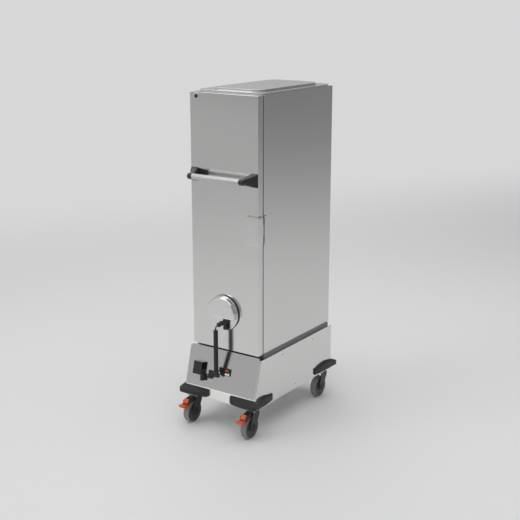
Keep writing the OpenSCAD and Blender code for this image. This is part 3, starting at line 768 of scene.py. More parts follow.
@dataclass
class Bench:
    """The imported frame, and what is done with its nodes."""

    frame: dict[str, Any]
    bodies: dict[str, str] = field(default_factory=dict)

    def __post_init__(self) -> None:
        """Notes which body each node rides on."""
        for name, node in self.frame["nodes"].items():
            self.bodies[name] = node.parent.name.split("body:")[-1]

    def dress(self, finish: Finish, *names: str) -> None:
        """Gives nodes that are kept a finish. Args: finish, names of the nodes."""
        for name in names:
            node = self.frame["nodes"][name]
            for place in node.material_slots:
                place.link = "OBJECT"
                place.material = finish.material()
            LOG.info("%s: kept, in %s", name, finish.name)

    def folded(
        self, name: str, finish: Finish, edge: float, outer: bool = True, sharp: float = 30.0
    ) -> Any:
        """A copy of a node with rounded edges, which stands for it.

        Args:
            name: the node.
            finish: the copy's finish.
            edge: radius of the rounded edges, in millimetres.
            outer: rounds only the edges that lie on two sides of the node's box.
            sharp: the least angle of an edge that is rounded, in degrees.

        Returns:
            The copy.
        """
        mesh = self.frame["nodes"][name].data.copy()
        work = bmesh.new()
        work.from_mesh(mesh)
        bmesh.ops.remove_doubles(work, verts=work.verts, dist=WELD)
        flat = math.radians(1.0)
        bmesh.ops.dissolve_limit(work, angle_limit=flat, verts=work.verts, edges=work.edges)
        # A face that runs round an opening would be filled by the bevel, so it is cut up again.
        around = [face for face in work.faces if outer and len(face.verts) > 4]
        bmesh.ops.triangulate(work, faces=around)
        if outer:
            low, high = (np.array(c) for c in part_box(name))
            weight = work.edges.layers.float.new("bevel_weight_edge")
            for rim in work.edges:
                middle = (np.array(rim.verts[0].co) + np.array(rim.verts[1].co)) / 2
                sides = (np.abs(middle - low) < 1e-5) | (np.abs(middle - high) < 1e-5)
                rim[weight] = 1.0 if sides.sum() >= 2 else 0.0
        work.to_mesh(mesh)
        work.free()
        made = add_object(name + "_folded", mesh)
        bevel = made.modifiers.new("rounded_edges", "BEVEL")
        bevel.width, bevel.segments = edge * MM, 3
        bevel.limit_method = "WEIGHT" if outer else "ANGLE"
        bevel.angle_limit = math.radians(sharp)
        bevel.use_clamp_overlap = True
        return finish_piece(made, finish, self.bodies[name], (name,), sharp)


# --- Sub-assemblies --------------------------------------------------------


@dataclass
class Cabinet:
    """Insulated box: sheets, liner, runners, deck, hinges and keeper."""

    bench: Bench
    fold: float = 1.8
    roof_z: float = 1868.0
    deck_z: float = 1878.0

    def build(self) -> None:
        """Rounds the outer sheets' folds and dresses what is inside."""
        bench = self.bench
        bench.folded("cabinet_shell", SKIN_STEEL, self.fold)
        bench.folded("back_panel", SKIN_STEEL, 0.6, outer=False)
        self.roof()
        bench.folded("latch_keeper", SKIN_STEEL, 1.2, outer=False)
        bench.folded("hinge_lower_leaves", INNER_STEEL, 0.8, outer=False, sharp=50.0)
        bench.dress(FRAME_PLASTIC, "front_frame")
        bench.dress(INNER_STEEL, "inner_liner", "tray_posts", "tray_runners")
        bench.dress(FOAM, "wall_foam")
        self.screws()

    def roof(self) -> None:
        """Pressed roof pan: rings of rounded rectangles that climb over two rounded steps.

        A ring is inset by d from its step's outline, whose corners have a radius of r - d.
        """
        roof, deck = self.roof_z, self.deck_z
        lower = ((0, roof - 10), (0, 1866.8), (0.4, 1867.7), (1.3, roof))
        upper = ((-0.3, roof), (0, 1868.4), (0.2, 1876.8), (0.6, 1877.7), (1.6, deck))
        rings = []
        for x, front, back, radius, way in ((217, 52, 737, 50, lower), (163, 100, 697, 60, upper)):
            for d, z in way:
                ring = rectangle(d - x, front + d, x - d, back - d, radius - d, 14)
                rings.append(raised(ring, z))
        Form().loft(np.array(rings)).build("roof_pan", ROOF_STEEL, "cabinet", ("top_deck",), 50.0)

    def screws(self) -> None:
        """Pan heads of the cover screws: a dome with a cross slot's pit in its middle."""
        head = [(0, 1.0), (1.3, 1.0), (1.7, 1.9), (3.2, 1.7), (4.3, 0.9), (4.5, 0.0), (0, 0)]
        form = Form()
        for side in (-1, 1):
            for y, z in ((208, 414), (527, 410), (341, 196)):
                form.lathe(head, (side * HALF_WIDTH, y, z), (side, 0, 0), 20)
            for z in np.arange(488, 1839, 268):
                form.lathe(head, (side * 202, 740, z), BACK, 20)
        form.build("cover_screw_heads", ZINC, "cabinet", ("cover_screws",))


@dataclass
class Door:
    """Door leaf with its gasket, hinge leaves and the small cap in its corner."""

    bench: Bench
    fold: float = 1.9
    cap_x: float = -178.0
    cap_z: float = 1838.0

    def build(self) -> None:
        """Rounds the skin's folds, dresses the rest and makes the cap."""
        bench = self.bench
        bench.folded("door_skin", SKIN_STEEL, self.fold)
        bench.folded("door_liner", INNER_STEEL, 0.6)
        bench.folded("hinge_upper_leaves", INNER_STEEL, 0.8, outer=False, sharp=50.0)
        bench.dress(FOAM, "door_foam")
        self.gasket()
        self.cap()

    def gasket(self) -> None:
        """Bulb gasket: a rounded ribbed section carried round a rectangle with mitred corners."""
        section = [(-14, 42), (-13, 44), (-10.5, 46.4), (-7, 46.6), (-3.5, 46.4), (-1, 44), (0, 42)]
        width, low, high = 188.5, 492.0, 1824.0
        corners = np.array([(-1, low, 1), (1, low, 1), (1, high, -1), (-1, high, -1)], float)
        rows = [
            [(side * (width + d), y, z - lift * d) for side, z, lift in corners] for d, y in section
        ]
        form = Form()
        form.grid(np.array(rows), wrap_u=True, wrap_v=True)
        form.build("door_gasket_bulb", BLACK_RUBBER, "door", ("door_gasket",))

    def cap(self) -> None:
        """Domed cap on a flat ring."""
        ring = [(0, 1.4), (15.2, 1.4), (16.6, 0.9), (17, 0), (0, 0)]
        dome = [(0, 3.6), (4.4, 3.5), (8.2, 3.0), (10.4, 2.1), (11.4, 0.9), (11.4, 0), (0, 0)]
        Form().lathe(ring, (self.cap_x - 2, 0, self.cap_z), FRONT).build(
            "corner_cap_ring", COVER_STEEL, "door", ("corner_cap",)
        )
        Form().lathe(dome, (self.cap_x, -1.2, self.cap_z), FRONT).build(
            "corner_cap_dome", BLACK_PLASTIC, "door", ("corner_cap",)
        )


@dataclass
class PushBar:
    """Aluminium bar between two wedge brackets."""

    height: float = 1422.0
    reach: float = 74.0
    radius: float = 15.0

    def build(self) -> None:
        """Makes the bar and the brackets."""
        self.bar()
        self.brackets()

    def bar(self) -> None:
        """Fluted bar: its radius dips by 1.3 mm in bell-shaped grooves at four angles."""
        turn = full_turn(144)
        grooves = np.radians([-24, 24, 156, 204])
        off = np.angle(np.exp(1j * (turn[:, None] - grooves)))
        size = self.radius - 1.3 * np.exp(-((off / 0.075) ** 2)).sum(1)
        along = np.array([-160, -150, -75, 0, 75, 150, 160], float)
        ring = np.stack((-self.reach - size * np.cos(turn), self.height + size * np.sin(turn)), -1)
        rings = raised(np.stack([ring] * len(along)), along[:, None], Axis.X)
        Form().loft(rings).build("push_bar_fluted", BAR_ALUMINIUM, "door", ("push_bar",), 50.0)

    def brackets(self) -> None:
        """Each bracket is lofted from its foot on the door to a round tip about the bar.

        A ring at depth y is a rounded rectangle. Its half height falls from 37 to 17 along a
        root curve, its outer side runs back to the tip, and its inner side leans inwards.
        """
        tip = -self.reach - 17 * np.sin(np.radians((0, 25, 45, 62, 76, 86)))
        rings = []
        for y in np.concatenate((np.linspace(0, -70, 15), tip)):
            share = min(1.0, -y / 60)
            half = 37 - 20 * share**0.86
            outer = 218 - 35 * share**1.15
            inner = 174 - 25 * share
            if y < -self.reach:
                past = min(1.0, (-self.reach - y) / 17.2)
                half *= math.sqrt(1 - past**2)
                middle, wide = (outer + inner) / 2, (outer - inner) / 2 * (1 - past**4) ** 0.25
                outer, inner = middle + wide, middle - wide
            corner = min(10.0 if y < -30 else 4 + 6 * share, half * 0.9, (outer - inner) * 0.45)
            outline = rectangle(inner, self.height - half, outer, self.height + half, corner, 6)
            rings.append(raised(outline, y, Axis.Y))
        form = Form().loft(np.array(rings)).mirrored()
        form.build("push_bar_brackets", BRACKET_PLASTIC, "door", ("bar_brackets",), 50.0)


@dataclass
class Latch:
    """Paddle over the door's edge, on its pin, with the case and the tongue behind it."""

    bench: Bench
    middle: float = 1154.0
    height: float = 156.0
    side_x: float = 226.0
    lap_from: float = 23.0
    lap: float = 14.0

    def build(self) -> None:
        """Makes the paddle and dresses the rest."""
        self.bench.folded("latch_case", BLACK_PLASTIC, 1.2, outer=False)
        self.bench.folded("latch_tongue", INNER_STEEL, 0.8, outer=False)
        self.bench.dress(INNER_STEEL, "latch_hinge")
        self.paddle()

    def paddle(self) -> None:
        """Folded plate: a plan curve carried up, shortened near its free edge by a quarter circle.

        The knuckle on the left edge is a rod round the pin.
        """
        x, lap = self.side_x, self.lap
        flat = [(151, -6), (180, -6), (205, -6), (219, -6)]
        depth = self.lap_from + lap * np.sin(np.linspace(0, math.pi / 2, 9))
        free = np.stack((np.full(9, x), depth), -1)
        bend = arc((x - 5, -1), 5, 270, 360, 8)
        plan = np.concatenate((flat, bend, [(x, 8), (x, 20)], free))
        past = np.clip((plan[:, 1] - self.lap_from) / lap, 0, 1)
        trim = lap * (1 - np.sqrt(1 - past**2))
        rise = np.linspace(-1, 1, 15)[:, None] * (self.height / 2 - trim)
        points = raised(np.stack([plan] * len(rise)), self.middle + rise)
        body, nodes = "latch_paddle", ("latch_paddle",)
        form = Form()
        form.grid(points)
        form.build("latch_paddle_plate", COVER_STEEL, body, nodes, 50.0, wall=2.0)
        low, high = self.middle - self.height / 2, self.middle + self.height / 2
        roll = [(1.4, low), (2.6, low), (2.8, low + 0.3)]
        roll += [(2.8, high - 0.3), (2.6, high), (1.4, high)]
        knuckle = Form().lathe(roll, (151, -3.1, 0), UP, 24, ring=True)
        knuckle.build("latch_paddle_knuckle", COVER_STEEL, body, nodes)


@dataclass
class HeaterModule:
    """Round heater module on the door, with its connector, lead, hose and plug."""

    bench: Bench
    middle: float = -6.0
    height: float = 671.0
    flange: float = 12.0
    radius: float = 93.0
    depth: float = 40.0
    flat: float = 20.0
    hose_x: float = -15.0
    hose_y: float = -70.0
    hose_radius: float = 12.5

    @property
    def cut(self) -> float:
        """Height of the cover's flat lower edge."""
        return self.height - self.flat

    def turned(self, profile: Sequence[Sequence[float]], turns: int, ring: bool) -> Form:
        """A profile turned about the module's axis. Args: as for lathe. Returns: the form."""
        return Form().lathe(profile, (self.middle, 0, self.height), FRONT, turns, ring)

    def build(self) -> None:
        """Makes what shows and dresses what is inside."""
        self.rim()
        self.cover()
        self.connector()
        self.lead()
        bench = self.bench
        bench.dress(ZINC, "fan_motor")
        bench.dress(INNER_STEEL, "fan_duct")
        bench.dress(HEATER_SHEATH, "heating_rings")
        bench.dress(IMPELLER_ALUMINIUM, "fan_impeller")
        bench.folded("fan_guard", INNER_STEEL, 0.4, outer=False)

    def rim(self) -> None:
        """Gasket ring and the pressed flange on it."""
        seal = [(83, 0.1), (98.6, 0.1), (99.1, 0.6), (99.1, 7.4), (98.6, 8.0), (83, 8.0)]
        self.turned(seal, 128, ring=True).build(
            "module_gasket_ring", BLACK_RUBBER, "door", ("module_gasket",)
        )
        disc = [(10, 8), (98, 8), (98.2, 8.4), (98.2, 11.2), (97.8, 11.8), (97, self.flange)]
        disc += [(90, self.flange), (10, self.flange)]
        self.turned(disc, 128, ring=True).build(
            "module_flange_disc", COVER_STEEL, "door", ("module_flange",)
        )

    def cover(self) -> None:
        """Domed pan turned about the module's axis, cut flat below by a plane and closed there."""
        radius, stand, depth = self.radius, self.flange, self.depth
        bend = arc((radius - 7, depth - 7), 7, 0, 90, 10)
        wall, face = [(radius, stand), (radius, 32.5)], [(60, depth), (30, depth), (0, depth)]
        section = np.concatenate((wall, bend, face))
        form = self.turned(section, 144, ring=False).cut((0, 0, self.cut), (0, 0, -1))
        made = form.build("module_cover_pan", COVER_STEEL, "door", ("module_cover",), 40.0, 1.2)
        edge = made.modifiers.new("cut_edge", "BEVEL")
        edge.width, edge.segments, edge.limit_method = 1.0 * MM, 2, "ANGLE"
        edge.angle_limit = math.radians(50)
        made.modifiers.move(len(made.modifiers) - 1, 0)
        left, right = self.middle - radius + 1, self.middle + radius - 1
        back, front = -stand, -depth - 1.6
        corners = [(left, back), (left, front), (right, front), (right, back)]
        hem = rounded(corners, (1, 9, 9, 1), 8)
        Form().slab(hem, self.cut - 1.2, self.cut + 2.2, Axis.Z, 1.1).build(
            "module_cover_hem", COVER_STEEL, "door", ("module_cover",)
        )

    def connector(self) -> None:
        """Ribbed stub under the cover, and the cable gland that slants down from it."""
        ribs = [(0, 0), (11, 0), (12, 1.2), (12, 10.4), (10.6, 11.6), (10.8, 16), (11.4, 34)]
        ribs += [(13.2, 36), (13.8, 38), (13.8, 51), (12, 53), (11.2, 55)]
        ribs += [(11.2, self.cut - 586), (0, self.cut - 586)]
        form = Form().lathe(ribs, (18.0, -26.0, 585.5), UP, 40)
        start, end = np.array((12.0, -28.0, 627.0)), np.array((-15.0, -56.0, 607.0))
        length = np.linalg.norm(end - start)
        nut = [(0, 0), (11, 0), (11, 10), (13.8, 11), (13.8, 23.5), (12.2, 24.5), (12.2, 27)]
        nut += [(13.2, 28), (13, 39), (10.6, 41.6), (6.0, length), (0, length)]
        form.lathe(nut, start, end - start, 14)
        form.build("module_connector_body", BLACK_PLASTIC, "door", ("module_connector",), 34.0)

    def lead(self) -> None:
        """Thin lead out of the gland, the straight hose round it, and the angled plug."""
        x, y = self.hose_x, self.hose_y
        stops = [(-11, -52, 610), (-15.5, -56.5, 606.5), (-18, -62, 601), (-16.5, -68, 593)]
        way = smooth_path(stops + [(x, y, 583), (x, y, 576)], 30)
        Form().tube(way, 3.8, 14).build("module_lead_bend", BLACK_RUBBER, "door", ("module_lead",))
        top, bottom = 584.0, 330.0
        line = np.stack((np.full(24, x), np.full(24, y), np.linspace(top, bottom, 24)), -1)
        tube = Form().tube(line, self.hose_radius, 40)
        hose = tube.build("lead_hose_tube", HOSE_RUBBER, "door", ("lead_hose",), 50.0)
        elbow = [(0, -15.6), (5, -15), (9.6, -12.2), (12.6, -8), (13.4, -2), (13.4, 22)]
        elbow += [(12.6, 25.5), (12.4, 27), (0, 27)]
        nose = [(0, 0), (10, 0), (10, 8), (12, 8.6), (12, 20), (10.5, 21), (10, 27), (0, 27)]
        plug = Form().lathe(elbow, (x, y, 326), UP, 40).lathe(nose, (x, y, 334), BACK, 32)
        made = plug.build("lead_plug", BLACK_PLASTIC, "door", ("lead_hose",), 34.0)
        # Button on the plug: a real part, whose paler zinc also stands for a painted highlight.
        knob = [(0, 0), (5, 0), (5, 1.4), (4.2, 2.2), (0, 2.4)]
        pin = Form().lathe(knob, (x + 11.6, y + 13, 337), (1, -0.3, 0), 20)
        button = pin.build("lead_plug_button", ZINC_WITH_PAINTED_HIGHLIGHT, "door")


@dataclass
class Base:
    """Spacer, side covers, sloped panel and chassis."""

    bench: Bench
    top: float = 440.0

    def build(self) -> None:
        """Makes the cover and dresses the rest."""
        bench = self.bench
        self.cover()
        bench.folded("base_front_panel", PANEL_STEEL, 0.7, outer=False)
        bench.folded("chassis_tray", CHASSIS_STEEL, 2.5)
        # The spacer's dark grey is partly painted recess shade.
        bench.folded("spacer_frame", SPACER_GREY_AND_RECESS_SHADE, 0.8, outer=False)
        bench.dress(BOX_PLASTIC, "electrical_box")

    def cover(self) -> None:
        """One sheet round three sides: a plan curve carried up, whose front end follows the slope.

        At height z the plan runs from the front flange round a corner of radius 7 to the side,
        round a corner of radius 3 and across the back, and is the same on the other side.
        """
        half = HALF_WIDTH
        levels = np.array([166, 200, 227.5, 228.5, 300, 380, self.top])
        flange = np.where(levels < SLOPE_FOOT, half - 7.5, half - 12)
        front_corner = arc((half - 7, 7), 7, -90, 0, 6)
        back = [arc((half - 3, 737), 3, 0, 90, 4), [(half - 60, 740), (80, 740)]]
        rows = []
        for y, x_end in zip(slope(levels), flange):
            side = np.stack((np.full(6, half), np.linspace(y + 60, 700, 6)), -1)
            right = np.concatenate([[(x_end, y)], front_corner + (0, y), side] + back)
            rows.append(np.concatenate((right, right[::-1] * (-1, 1))))
        form = Form()
        form.grid(raised(np.array(rows), levels[:, None]))
        form.build("base_cover_sheet", BASE_STEEL, "cabinet", ("base_cover",), 40.0, wall=1.5)
        ledge = rectangle(200, float(slope(self.top)) + 1, half, 740, 3)
        Form().slab(ledge, self.top - 1.5, self.top, Axis.Z, 0.6).mirrored().build(
            "base_cover_ledges", BASE_STEEL, "cabinet", ("base_cover",)
        )


@dataclass
class Bumpers:
    """Four corner bumpers: a sloped section carried round each corner of the base."""

    low: float = 180.0
    high: float = 222.0

    def build(self) -> None:
        """Makes the front pair and the rear pair."""
        front = self.corner(60.0, 156.0, 0.0)
        front.points = [p * (1, -1, 1) for p in front.points]
        front.mirrored().build("bumpers_front_wings", BUMPER_PLASTIC, "cabinet", ("bumpers_front",))
        rear = self.corner(748.0, 198.0, 8.0)
        rear.mirrored().build("bumpers_rear_wings", BUMPER_PLASTIC, "cabinet", ("bumpers_rear",))

    def corner(self, front: float, side_end: float, stand: float) -> Form:
        """One bumper at x > 0, whose wings point towards -y and -x.

        A station is a point on the wall and a point on the outline. The section between them
        has a sloping top, a rounded outer rim and a rounded lower rim. Along the side wing the
        top rises by 13 mm in the middle.

        Args:
            front: y of the wall that the front wing stands on.
            side_end: length of the side wing.
            stand: how far the bumper's wall stands off the base.

        Returns:
            The form.
        """
        x, end = HALF_WIDTH, front - side_end
        near = [(77, front + 14), (94, front + 26), (124, front + 33), (156, front + 37.6)]
        near += [(200, front + 39.8)]
        far = [(x + 19.6, front - 12), (x + 19, front - side_end * 0.35)]
        far += [(x + 17, end + 60), (x + 13, end + 28), (x + 8, end)]
        outline = np.concatenate((near, arc((x + 2, front + 22), 18, 90, 0, 8), far))
        over = outline[:, 1] > front
        wall_y = np.where(over, front - stand, outline[:, 1])
        wall = np.stack((np.minimum(outline[:, 0], x), wall_y), -1)
        run = np.clip((front - outline[:, 1]) / side_end, 0, 1)
        rise = 13 * np.sin(np.pi * np.clip(run * 1.15, 0, 1)) ** 1.2
        out = outline - wall
        wide = np.linalg.norm(out, axis=1)
        way = out / wide[:, None]
        high_in = self.high + rise
        high_out = high_in - 0.43 * np.minimum(wide, 42)
        low = np.full(len(wide), self.low)
        section = (
            (0.0, 0.0, high_in),
            (1.0, -5.0, high_out + 2.1),
            (1.0, -2.0, high_out + 0.7),
            (1.0, -0.5, high_out - 0.8),
            (1.0, 0.0, high_out - 2.6),
            (1.0, 0.0, low + 5.5),
            (1.0, -0.8, low + 2.6),
            (1.0, -2.6, low + 0.7),
            (1.0, -5.5, low),
            (0.0, 0.0, low),
        )
        points = []
        for share, back, level in section:
            reach = share * (wide + np.maximum(back, -0.8 * wide))
            points.append(raised(wall + way * reach[:, None], level))
        pad = rectangle(97, 196, 121, 201.5, 2.6)
        return Form().loft(np.stack(points, 1)).slab(pad, front + 20, front + 32.2, Axis.Y, 0.8)


@dataclass
class PowerPanel:
    """Socket block, rocker, windows and inlet, in a frame that leans with the sloped panel."""

    bench: Bench
    middle: float = 342.0
    face: float = -6.0

    def put(
        self, form: Form, name: str, finish: Finish, node: str, body: str = "cabinet"
    ) -> None:
        """Leans a form with the panel and builds it. Args: form, name, finish, node, body."""
        lean = math.degrees(math.atan2(SLOPE_RUN, SLOPE_TOP - SLOPE_FOOT))
        origin = (0.0, float(slope(self.middle)), self.middle)
        form.leant(lean, origin).build(name, finish, body, (node,), 34.0)

    def build(self) -> None:
        """Makes the block, the rocker and the windows, and rounds the inlet's edges."""
        face = self.face
        block = Form()
        for spot, radius, low, high, edge in (
            ((-20, -24, 56, 17), 2.5, face, 0, 1.0),
            ((19.6, -1.6, 55.6, 10.6), 2.0, face - 1.0, face + 2, 0.7),
            ((19.6, -23.3, 55.6, -7.7), 2.0, face - 1.0, face + 2, 0.7),
            ((-88, -46, -18, -13), 4, -7, 0, 1.2),
            ((-82, -41, -52, -18), 3, -8.5, -3, 1.0),
            ((-98, -60, -60, -45), 3, -12, 0, 1.5),
        ):
            block.slab(rectangle(*spot, radius), low, high, Axis.Y, edge)
        self.put(block, "socket_block_housing", BLACK_PLASTIC, "socket_block")
        windows = Form()
        for x in (23.5, 39):
            pane = rectangle(x, -21.5, x + 13.5, -9.5, 1.5)
            windows.slab(pane, face - 1.7, face + 2, Axis.Y, 0.6)
        self.put(windows, "indicator_window_caps", WINDOW_PLASTIC, "indicator_windows")
        shape = [(-15.5, -2.8), (-8, -2.2), (0, -1.3), (8, -0.8), (15.5, -0.6)]
        shape += [(15, 2.6), (5, 3.6), (-5, 3.6), (-15, 0.4)]
        rocker = Form().slab(np.add(shape, (38.0, face)), 0.2, 8.8, Axis.Z, 0.9)
        self.put(rocker, "rocker_switch_cap", ORANGE_PLASTIC, "rocker_switch", "rocker")
        self.bench.folded("inlet_box", BLACK_PLASTIC, 1.4, outer=False, sharp=40.0)


@dataclass
class Caster:
    """One swivel caster: fork, hub, tyre and, in front, the brake pedal."""

    tag: str
    x: float
    y: float
    trail: float = 39.0
    axle: float = 62.5
    leg: float = 26.5
    pad: float = 20.4

    @property
    def braked(self) -> bool:
        """Whether the caster has a pedal."""
        return self.tag.startswith("front")

    @property
    def centre(self) -> tuple[float, float]:
        """y and z of the wheel's middle."""
        return (self.y - self.trail, self.axle)

    def build(self) -> None:
        """Makes the fork, the wheel and, in front, the pedal."""
        self.fork()
        self.hub()
        self.tyre()
        if self.braked:
            self.pedal()

    def shifted(self, corners: Any, radii: Any, steps: int) -> np.ndarray:
        """A rounded (y, z) outline by the swivel axis. Args: as for rounded. Returns: it."""
        return rounded(corners, radii, steps) + (self.y, 0)

    def oval(self, radius: float) -> np.ndarray:
        """Outline of the leaning oval round the axle. Args: radius. Returns: (n, 2)."""
        y, z = self.centre[0] + 3, self.centre[1] + 2
        return capsule((y + 2, z + 8), radius, (y - 2, z - 8), radius)

    def make(
        self, form: Form, name: str, finish: Finish, body: str, node: str = "", sharp: float = 38.0
    ) -> None:
        """Builds a piece with the caster's tag. Args: form, then as for Form.build."""
        tag = "_" + self.tag
        form.build(name + tag, finish, body + tag, (node + tag,) if node else (), sharp)

    def fork(self) -> None:
        """Domed crown, two tapered legs with an oval rim round the axle, and the brake's nose."""
        x, y = self.x, self.y
        crown = [(7.2, 138), (26, 138), (27, 139.5), (27, 147), (25.5, 149.4), (23.5, 150)]
        form = Form().lathe(crown + [(7.2, 150)], (x, y, 0), UP, 48, ring=True)
        form.slab(rectangle(x - 26, y - 26, x + 26, y + 18, 8), 139, 149, Axis.Z, 1.5)
        leg = [(21, 149), (20, 126), (-14, 62), (-22, 42), (-50, 40), (-62, 58), (-60, 82)]
        radii = (4, 16, 20, 18, 20, 18, 26, 6)
        form.pair(self.shifted(leg + [(-36, 149)], radii, 7), x, 22, self.leg, 1.3)
        form.pair(self.oval(15.5), x, 25, 28.1, 1.2)
        head = [(0, -3), (4.2, -3), (4.2, -0.8), (3.3, 0), (0, 0)]
        for side in (-1, 1):
            form.lathe(head, (x + side * (self.leg + 3), y - 1, 144.5), (side, 0, 0), 18)
        if self.braked:
            nose = [(-20, 128), (-20, 150), (-64, 152), (-85, 147), (-85, 129)]
            form.slab(self.shifted(nose, (2, 2, 14, 5, 5), 6), x - 17, x + 17, Axis.X, 3.0)
            form.lathe([(0, 0), (3, 0), (3, 44), (0, 44)], (x - 22, y - 80, 139), RIGHT, 20)
        self.make(form, "fork_shell", FORK_PAINT, "caster", "fork", 36.0)
        # Painted shadow: a flat black oval on each leg's boss stands for the shadowed gap between
        # the leg and the wheel.
        slot_shade = Form().pair(self.oval(12.6), x, 26.7, 28.2, 0.0)
        self.make(slot_shade, "fork_slot", BLACK_RUBBER, "caster")
        bolt = Form()
        nut = [(0, 0), (6, 0), (6, 3.2), (5.2, 4.1), (0, 4.1)]
        for side in (-1, 1):
            bolt.lathe(nut, (x + side * self.leg, *self.centre), (side, 0, 0), 6)
        self.make(bolt, "fork_axle_bolt", FORK_PAINT, "caster")

    def wheel(self, half: list[tuple[float, float]], turns: int) -> Form:
        """A half section, its mirror image, turned about the axle. Args: it, turns. Returns: it."""
        section = half + [(r, -h) for r, h in half[::-1]]
        return Form().lathe(section, (self.x, *self.centre), RIGHT, turns, ring=True)

    def hub(self) -> None:
        """Dished disc with a collar round the axle and a raised rim on each side."""
        half = [(6.1, 21), (13.5, 21), (14.5, 20.4), (17, 14), (34, 15), (36, 15.6)]
        half += [(46, 16.2), (54, 16.6), (55.6, 16.2), (56.2, 15)]
        self.make(self.wheel(half, 72), "hub_disc", HUB_PLASTIC, "wheel", "hub", 30.0)

    def tyre(self) -> None:
        """Tyre band: a nearly flat tread with round shoulders."""
        half = [(55, 14.5), (56.4, 17.2), (57.8, 17.9), (59.8, 17.5), (61.6, 15.4)]
        half += [(62.3, 12), (62.5, 6)]
        self.make(self.wheel(half, 96), "tyre_band", TYRE_RUBBER, "wheel", "tyre", 40.0)

    def pedal(self) -> None:
        """Leaning plate and a ribbed foot pad with a raised tip, on two dark arms."""
        x = self.x
        form = Form()
        plate = [(-83.5, 149.5), (-87.5, 153.5), (-106, 132), (-102, 128.5)]
        form.slab(self.shifted(plate, 1.6, 4), x - 15.5, x + 15.5, Axis.X, 1.6)
        pad = [(-105, 124), (-112, 124.5), (-137, 128.5), (-139, 126), (-139, 120)]
        pad += [(-124, 107), (-108, 107)]
        outline = self.shifted(pad, (2, 3, 2, 2, 5, 4, 4), 5)
        form.slab(outline, x - self.pad, x + self.pad, Axis.X, 2.4)
        for y in (-132, -126, -120):
            lift = 127.4 - (y + 132) * 0.16
            low, high = (y - 1.3, lift - 2), (y + 1.3, lift + 1.1)
            bead = [low, (high[0], low[1]), high, (low[0], high[1])]
            form.slab(self.shifted(bead, 0.9, 3), x - 16, x + 16, Axis.X, 0.8)
        self.make(form, "pedal_tread", ORANGE_PLASTIC, "brake", "pedal", 34.0)
        web = [(-89, 136), (-91, 141), (-104, 128), (-111, 123), (-108, 110), (-98, 122)]
        arms = Form().slab(self.shifted(web, 1.5, 3), x - 18, x + 18, Axis.X, 1.0)
        arms.pair(capsule((-80, 139), 7, (-92, 137), 6) + (self.y, 0), x, 17.5, self.pad, 0.9)
        self.make(arms, "pedal_arms", FORK_PAINT, "brake", "pedal", 34.0)


@dataclass(frozen=True)
class Lamp:
    """A square soft lamp: where it stands, what it faces, its side in metres and its watts."""

    name: str
    place: tuple[float, float, float]
    target: tuple[float, float, float]
    size: float
    power: float


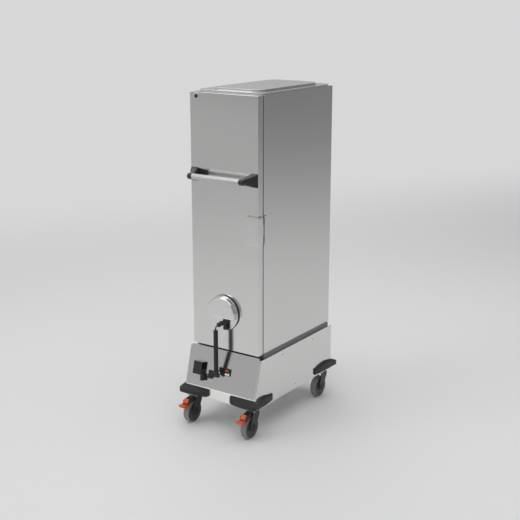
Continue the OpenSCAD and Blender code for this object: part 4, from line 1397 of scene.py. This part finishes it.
@dataclass
class Studio:
    """Camera at the photo's angle, pale floor, soft lamps and the world."""

    azimuth: float = 34.36
    elevation: float = 15.05
    lens: float = 68.91
    eye: tuple[float, float, float] = (3.0871, -4.4948, 2.3648)
    floor_half: float = 500.0
    view_limit: float = 2000.0
    lamps: tuple[Lamp, ...] = (
        Lamp("key", (0.5, -0.4, 6.0), (0.5, -0.3, 0.0), 8.0, 300.0),
        Lamp("front", (-8.5, -12.5, 8.5), (-5.0, -8.0, 0.0), 9.0, 340.0),
        Lamp("back", (-7.0, 10.0, 7.0), (-5.0, 8.0, 0.0), 9.0, 200.0),
    )

    def camera(self) -> None:
        """Sets the camera; the cart's cords are laid out for its view."""
        data = bpy.data.cameras.new("view")
        data.lens, data.sensor_width = self.lens, 36.0
        data.clip_end = self.view_limit
        made = add_object("view", data)
        made.location = self.eye
        made.rotation_euler = (math.radians(90 - self.elevation), 0.0, math.radians(self.azimuth))
        bpy.context.scene.camera = made

    def light(self) -> None:
        """Adds the floor, the lamps and the world."""
        bpy.context.scene.view_settings.view_transform = "Standard"
        mesh = bpy.data.meshes.new("floor")
        size = self.floor_half
        square = [(-size, -size, 0), (size, -size, 0), (size, size, 0), (-size, size, 0)]
        mesh.from_pydata(square, [], [(0, 1, 2, 3)])
        floor = add_object("floor", mesh)
        mesh.materials.append(self.pale())
        for lamp in self.lamps:
            data = bpy.data.lights.new(lamp.name, "AREA")
            data.shape, data.size, data.energy = "SQUARE", lamp.size, lamp.power
            made = add_object(lamp.name, data)
            made.location = lamp.place
            way = np.subtract(lamp.target, lamp.place)
            yaw = math.atan2(way[1], way[0]) - math.pi / 2
            tilt = math.atan2(math.hypot(way[0], way[1]), -way[2])
            made.rotation_euler = (tilt, 0.0, yaw)
        self.sky()

    def pale(self) -> Any:
        """Floor: matt and pale; far behind the cart it keeps one pale tone where it is seen.

        Returns:
            The material.
        """
        made = bpy.data.materials.new("pale_floor")
        tree = Tree(made)
        spot = tree.node("ShaderNodeTexCoord", output="Object")
        behind = tree.dot(spot, (-0.86, 0.51, 0.0))
        rays = [
            tree.node("ShaderNodeLightPath", output="Is %s Ray" % kind)
            for kind in ("Camera", "Glossy", "Transmission")
        ]
        share = behind.step(1.9, 6.5) * (rays[0] + rays[1] + rays[2])
        lit = tree.node(
            "ShaderNodeBsdfPrincipled", inputs={"Base Color": grey(0.80), "Roughness": 0.9}
        )
        tone = tree.node("ShaderNodeEmission", inputs={"Color": grey(0.68), "Strength": 1.0})
        mixed = tree.node("ShaderNodeMixShader", inputs={0: share, 1: lit, 2: tone})
        tree.node("ShaderNodeOutputMaterial", inputs={"Surface": mixed})
        return made

    def sky(self) -> None:
        """World: grey that is palest near the horizon and darker towards the back right."""
        world = bpy.data.worlds.new("studio")
        bpy.context.scene.world = world
        tree = Tree(world)
        way = tree.node("ShaderNodeTexCoord", output="Generated")
        up = tree.node("ShaderNodeSeparateXYZ", inputs={0: way}, output=2)
        stops = [(0.0, grey(0.46)), (0.3, grey(0.50)), (1.0, grey(0.24))]
        tone = tree.node("ShaderNodeValToRGB", {"stops": stops}, {0: up})
        side = tree.dot(way, (0.75, 0.66, 0.0))
        shade = tree.mix(side.step(-0.35, 0.95) * 0.62, tone, (0.0, 0.0, 0.0, 1.0))
        back = tree.node("ShaderNodeBackground", inputs={"Color": shade, "Strength": 1.0})
        tree.node("ShaderNodeOutputWorld", inputs={"Surface": back})


def corners(box: tuple[Any, Any]) -> list[list[float]]:
    """A box as plain lists. Args: box, its lowest and highest corner. Returns: the lists."""
    return [list(map(float, corner)) for corner in box]


def main() -> None:
    """Builds the cart's pieces in order and lights them."""
    logging.basicConfig(level=logging.INFO, format="%(name)s: %(message)s")
    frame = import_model()
    bench = Bench(frame)
    studio = Studio()
    studio.camera()
    HeaterModule(bench).build()
    Cabinet(bench).build()
    Door(bench).build()
    PushBar().build()
    Latch(bench).build()
    Base(bench).build()
    Bumpers().build()
    PowerPanel(bench).build()
    bench.folded("caster_plates", ZINC, 0.8, outer=False, sharp=40.0)
    for tag, x, y in CORNERS:
        Caster(tag, x, y).build()
    studio.light()


if __name__ == "__main__":
    main()
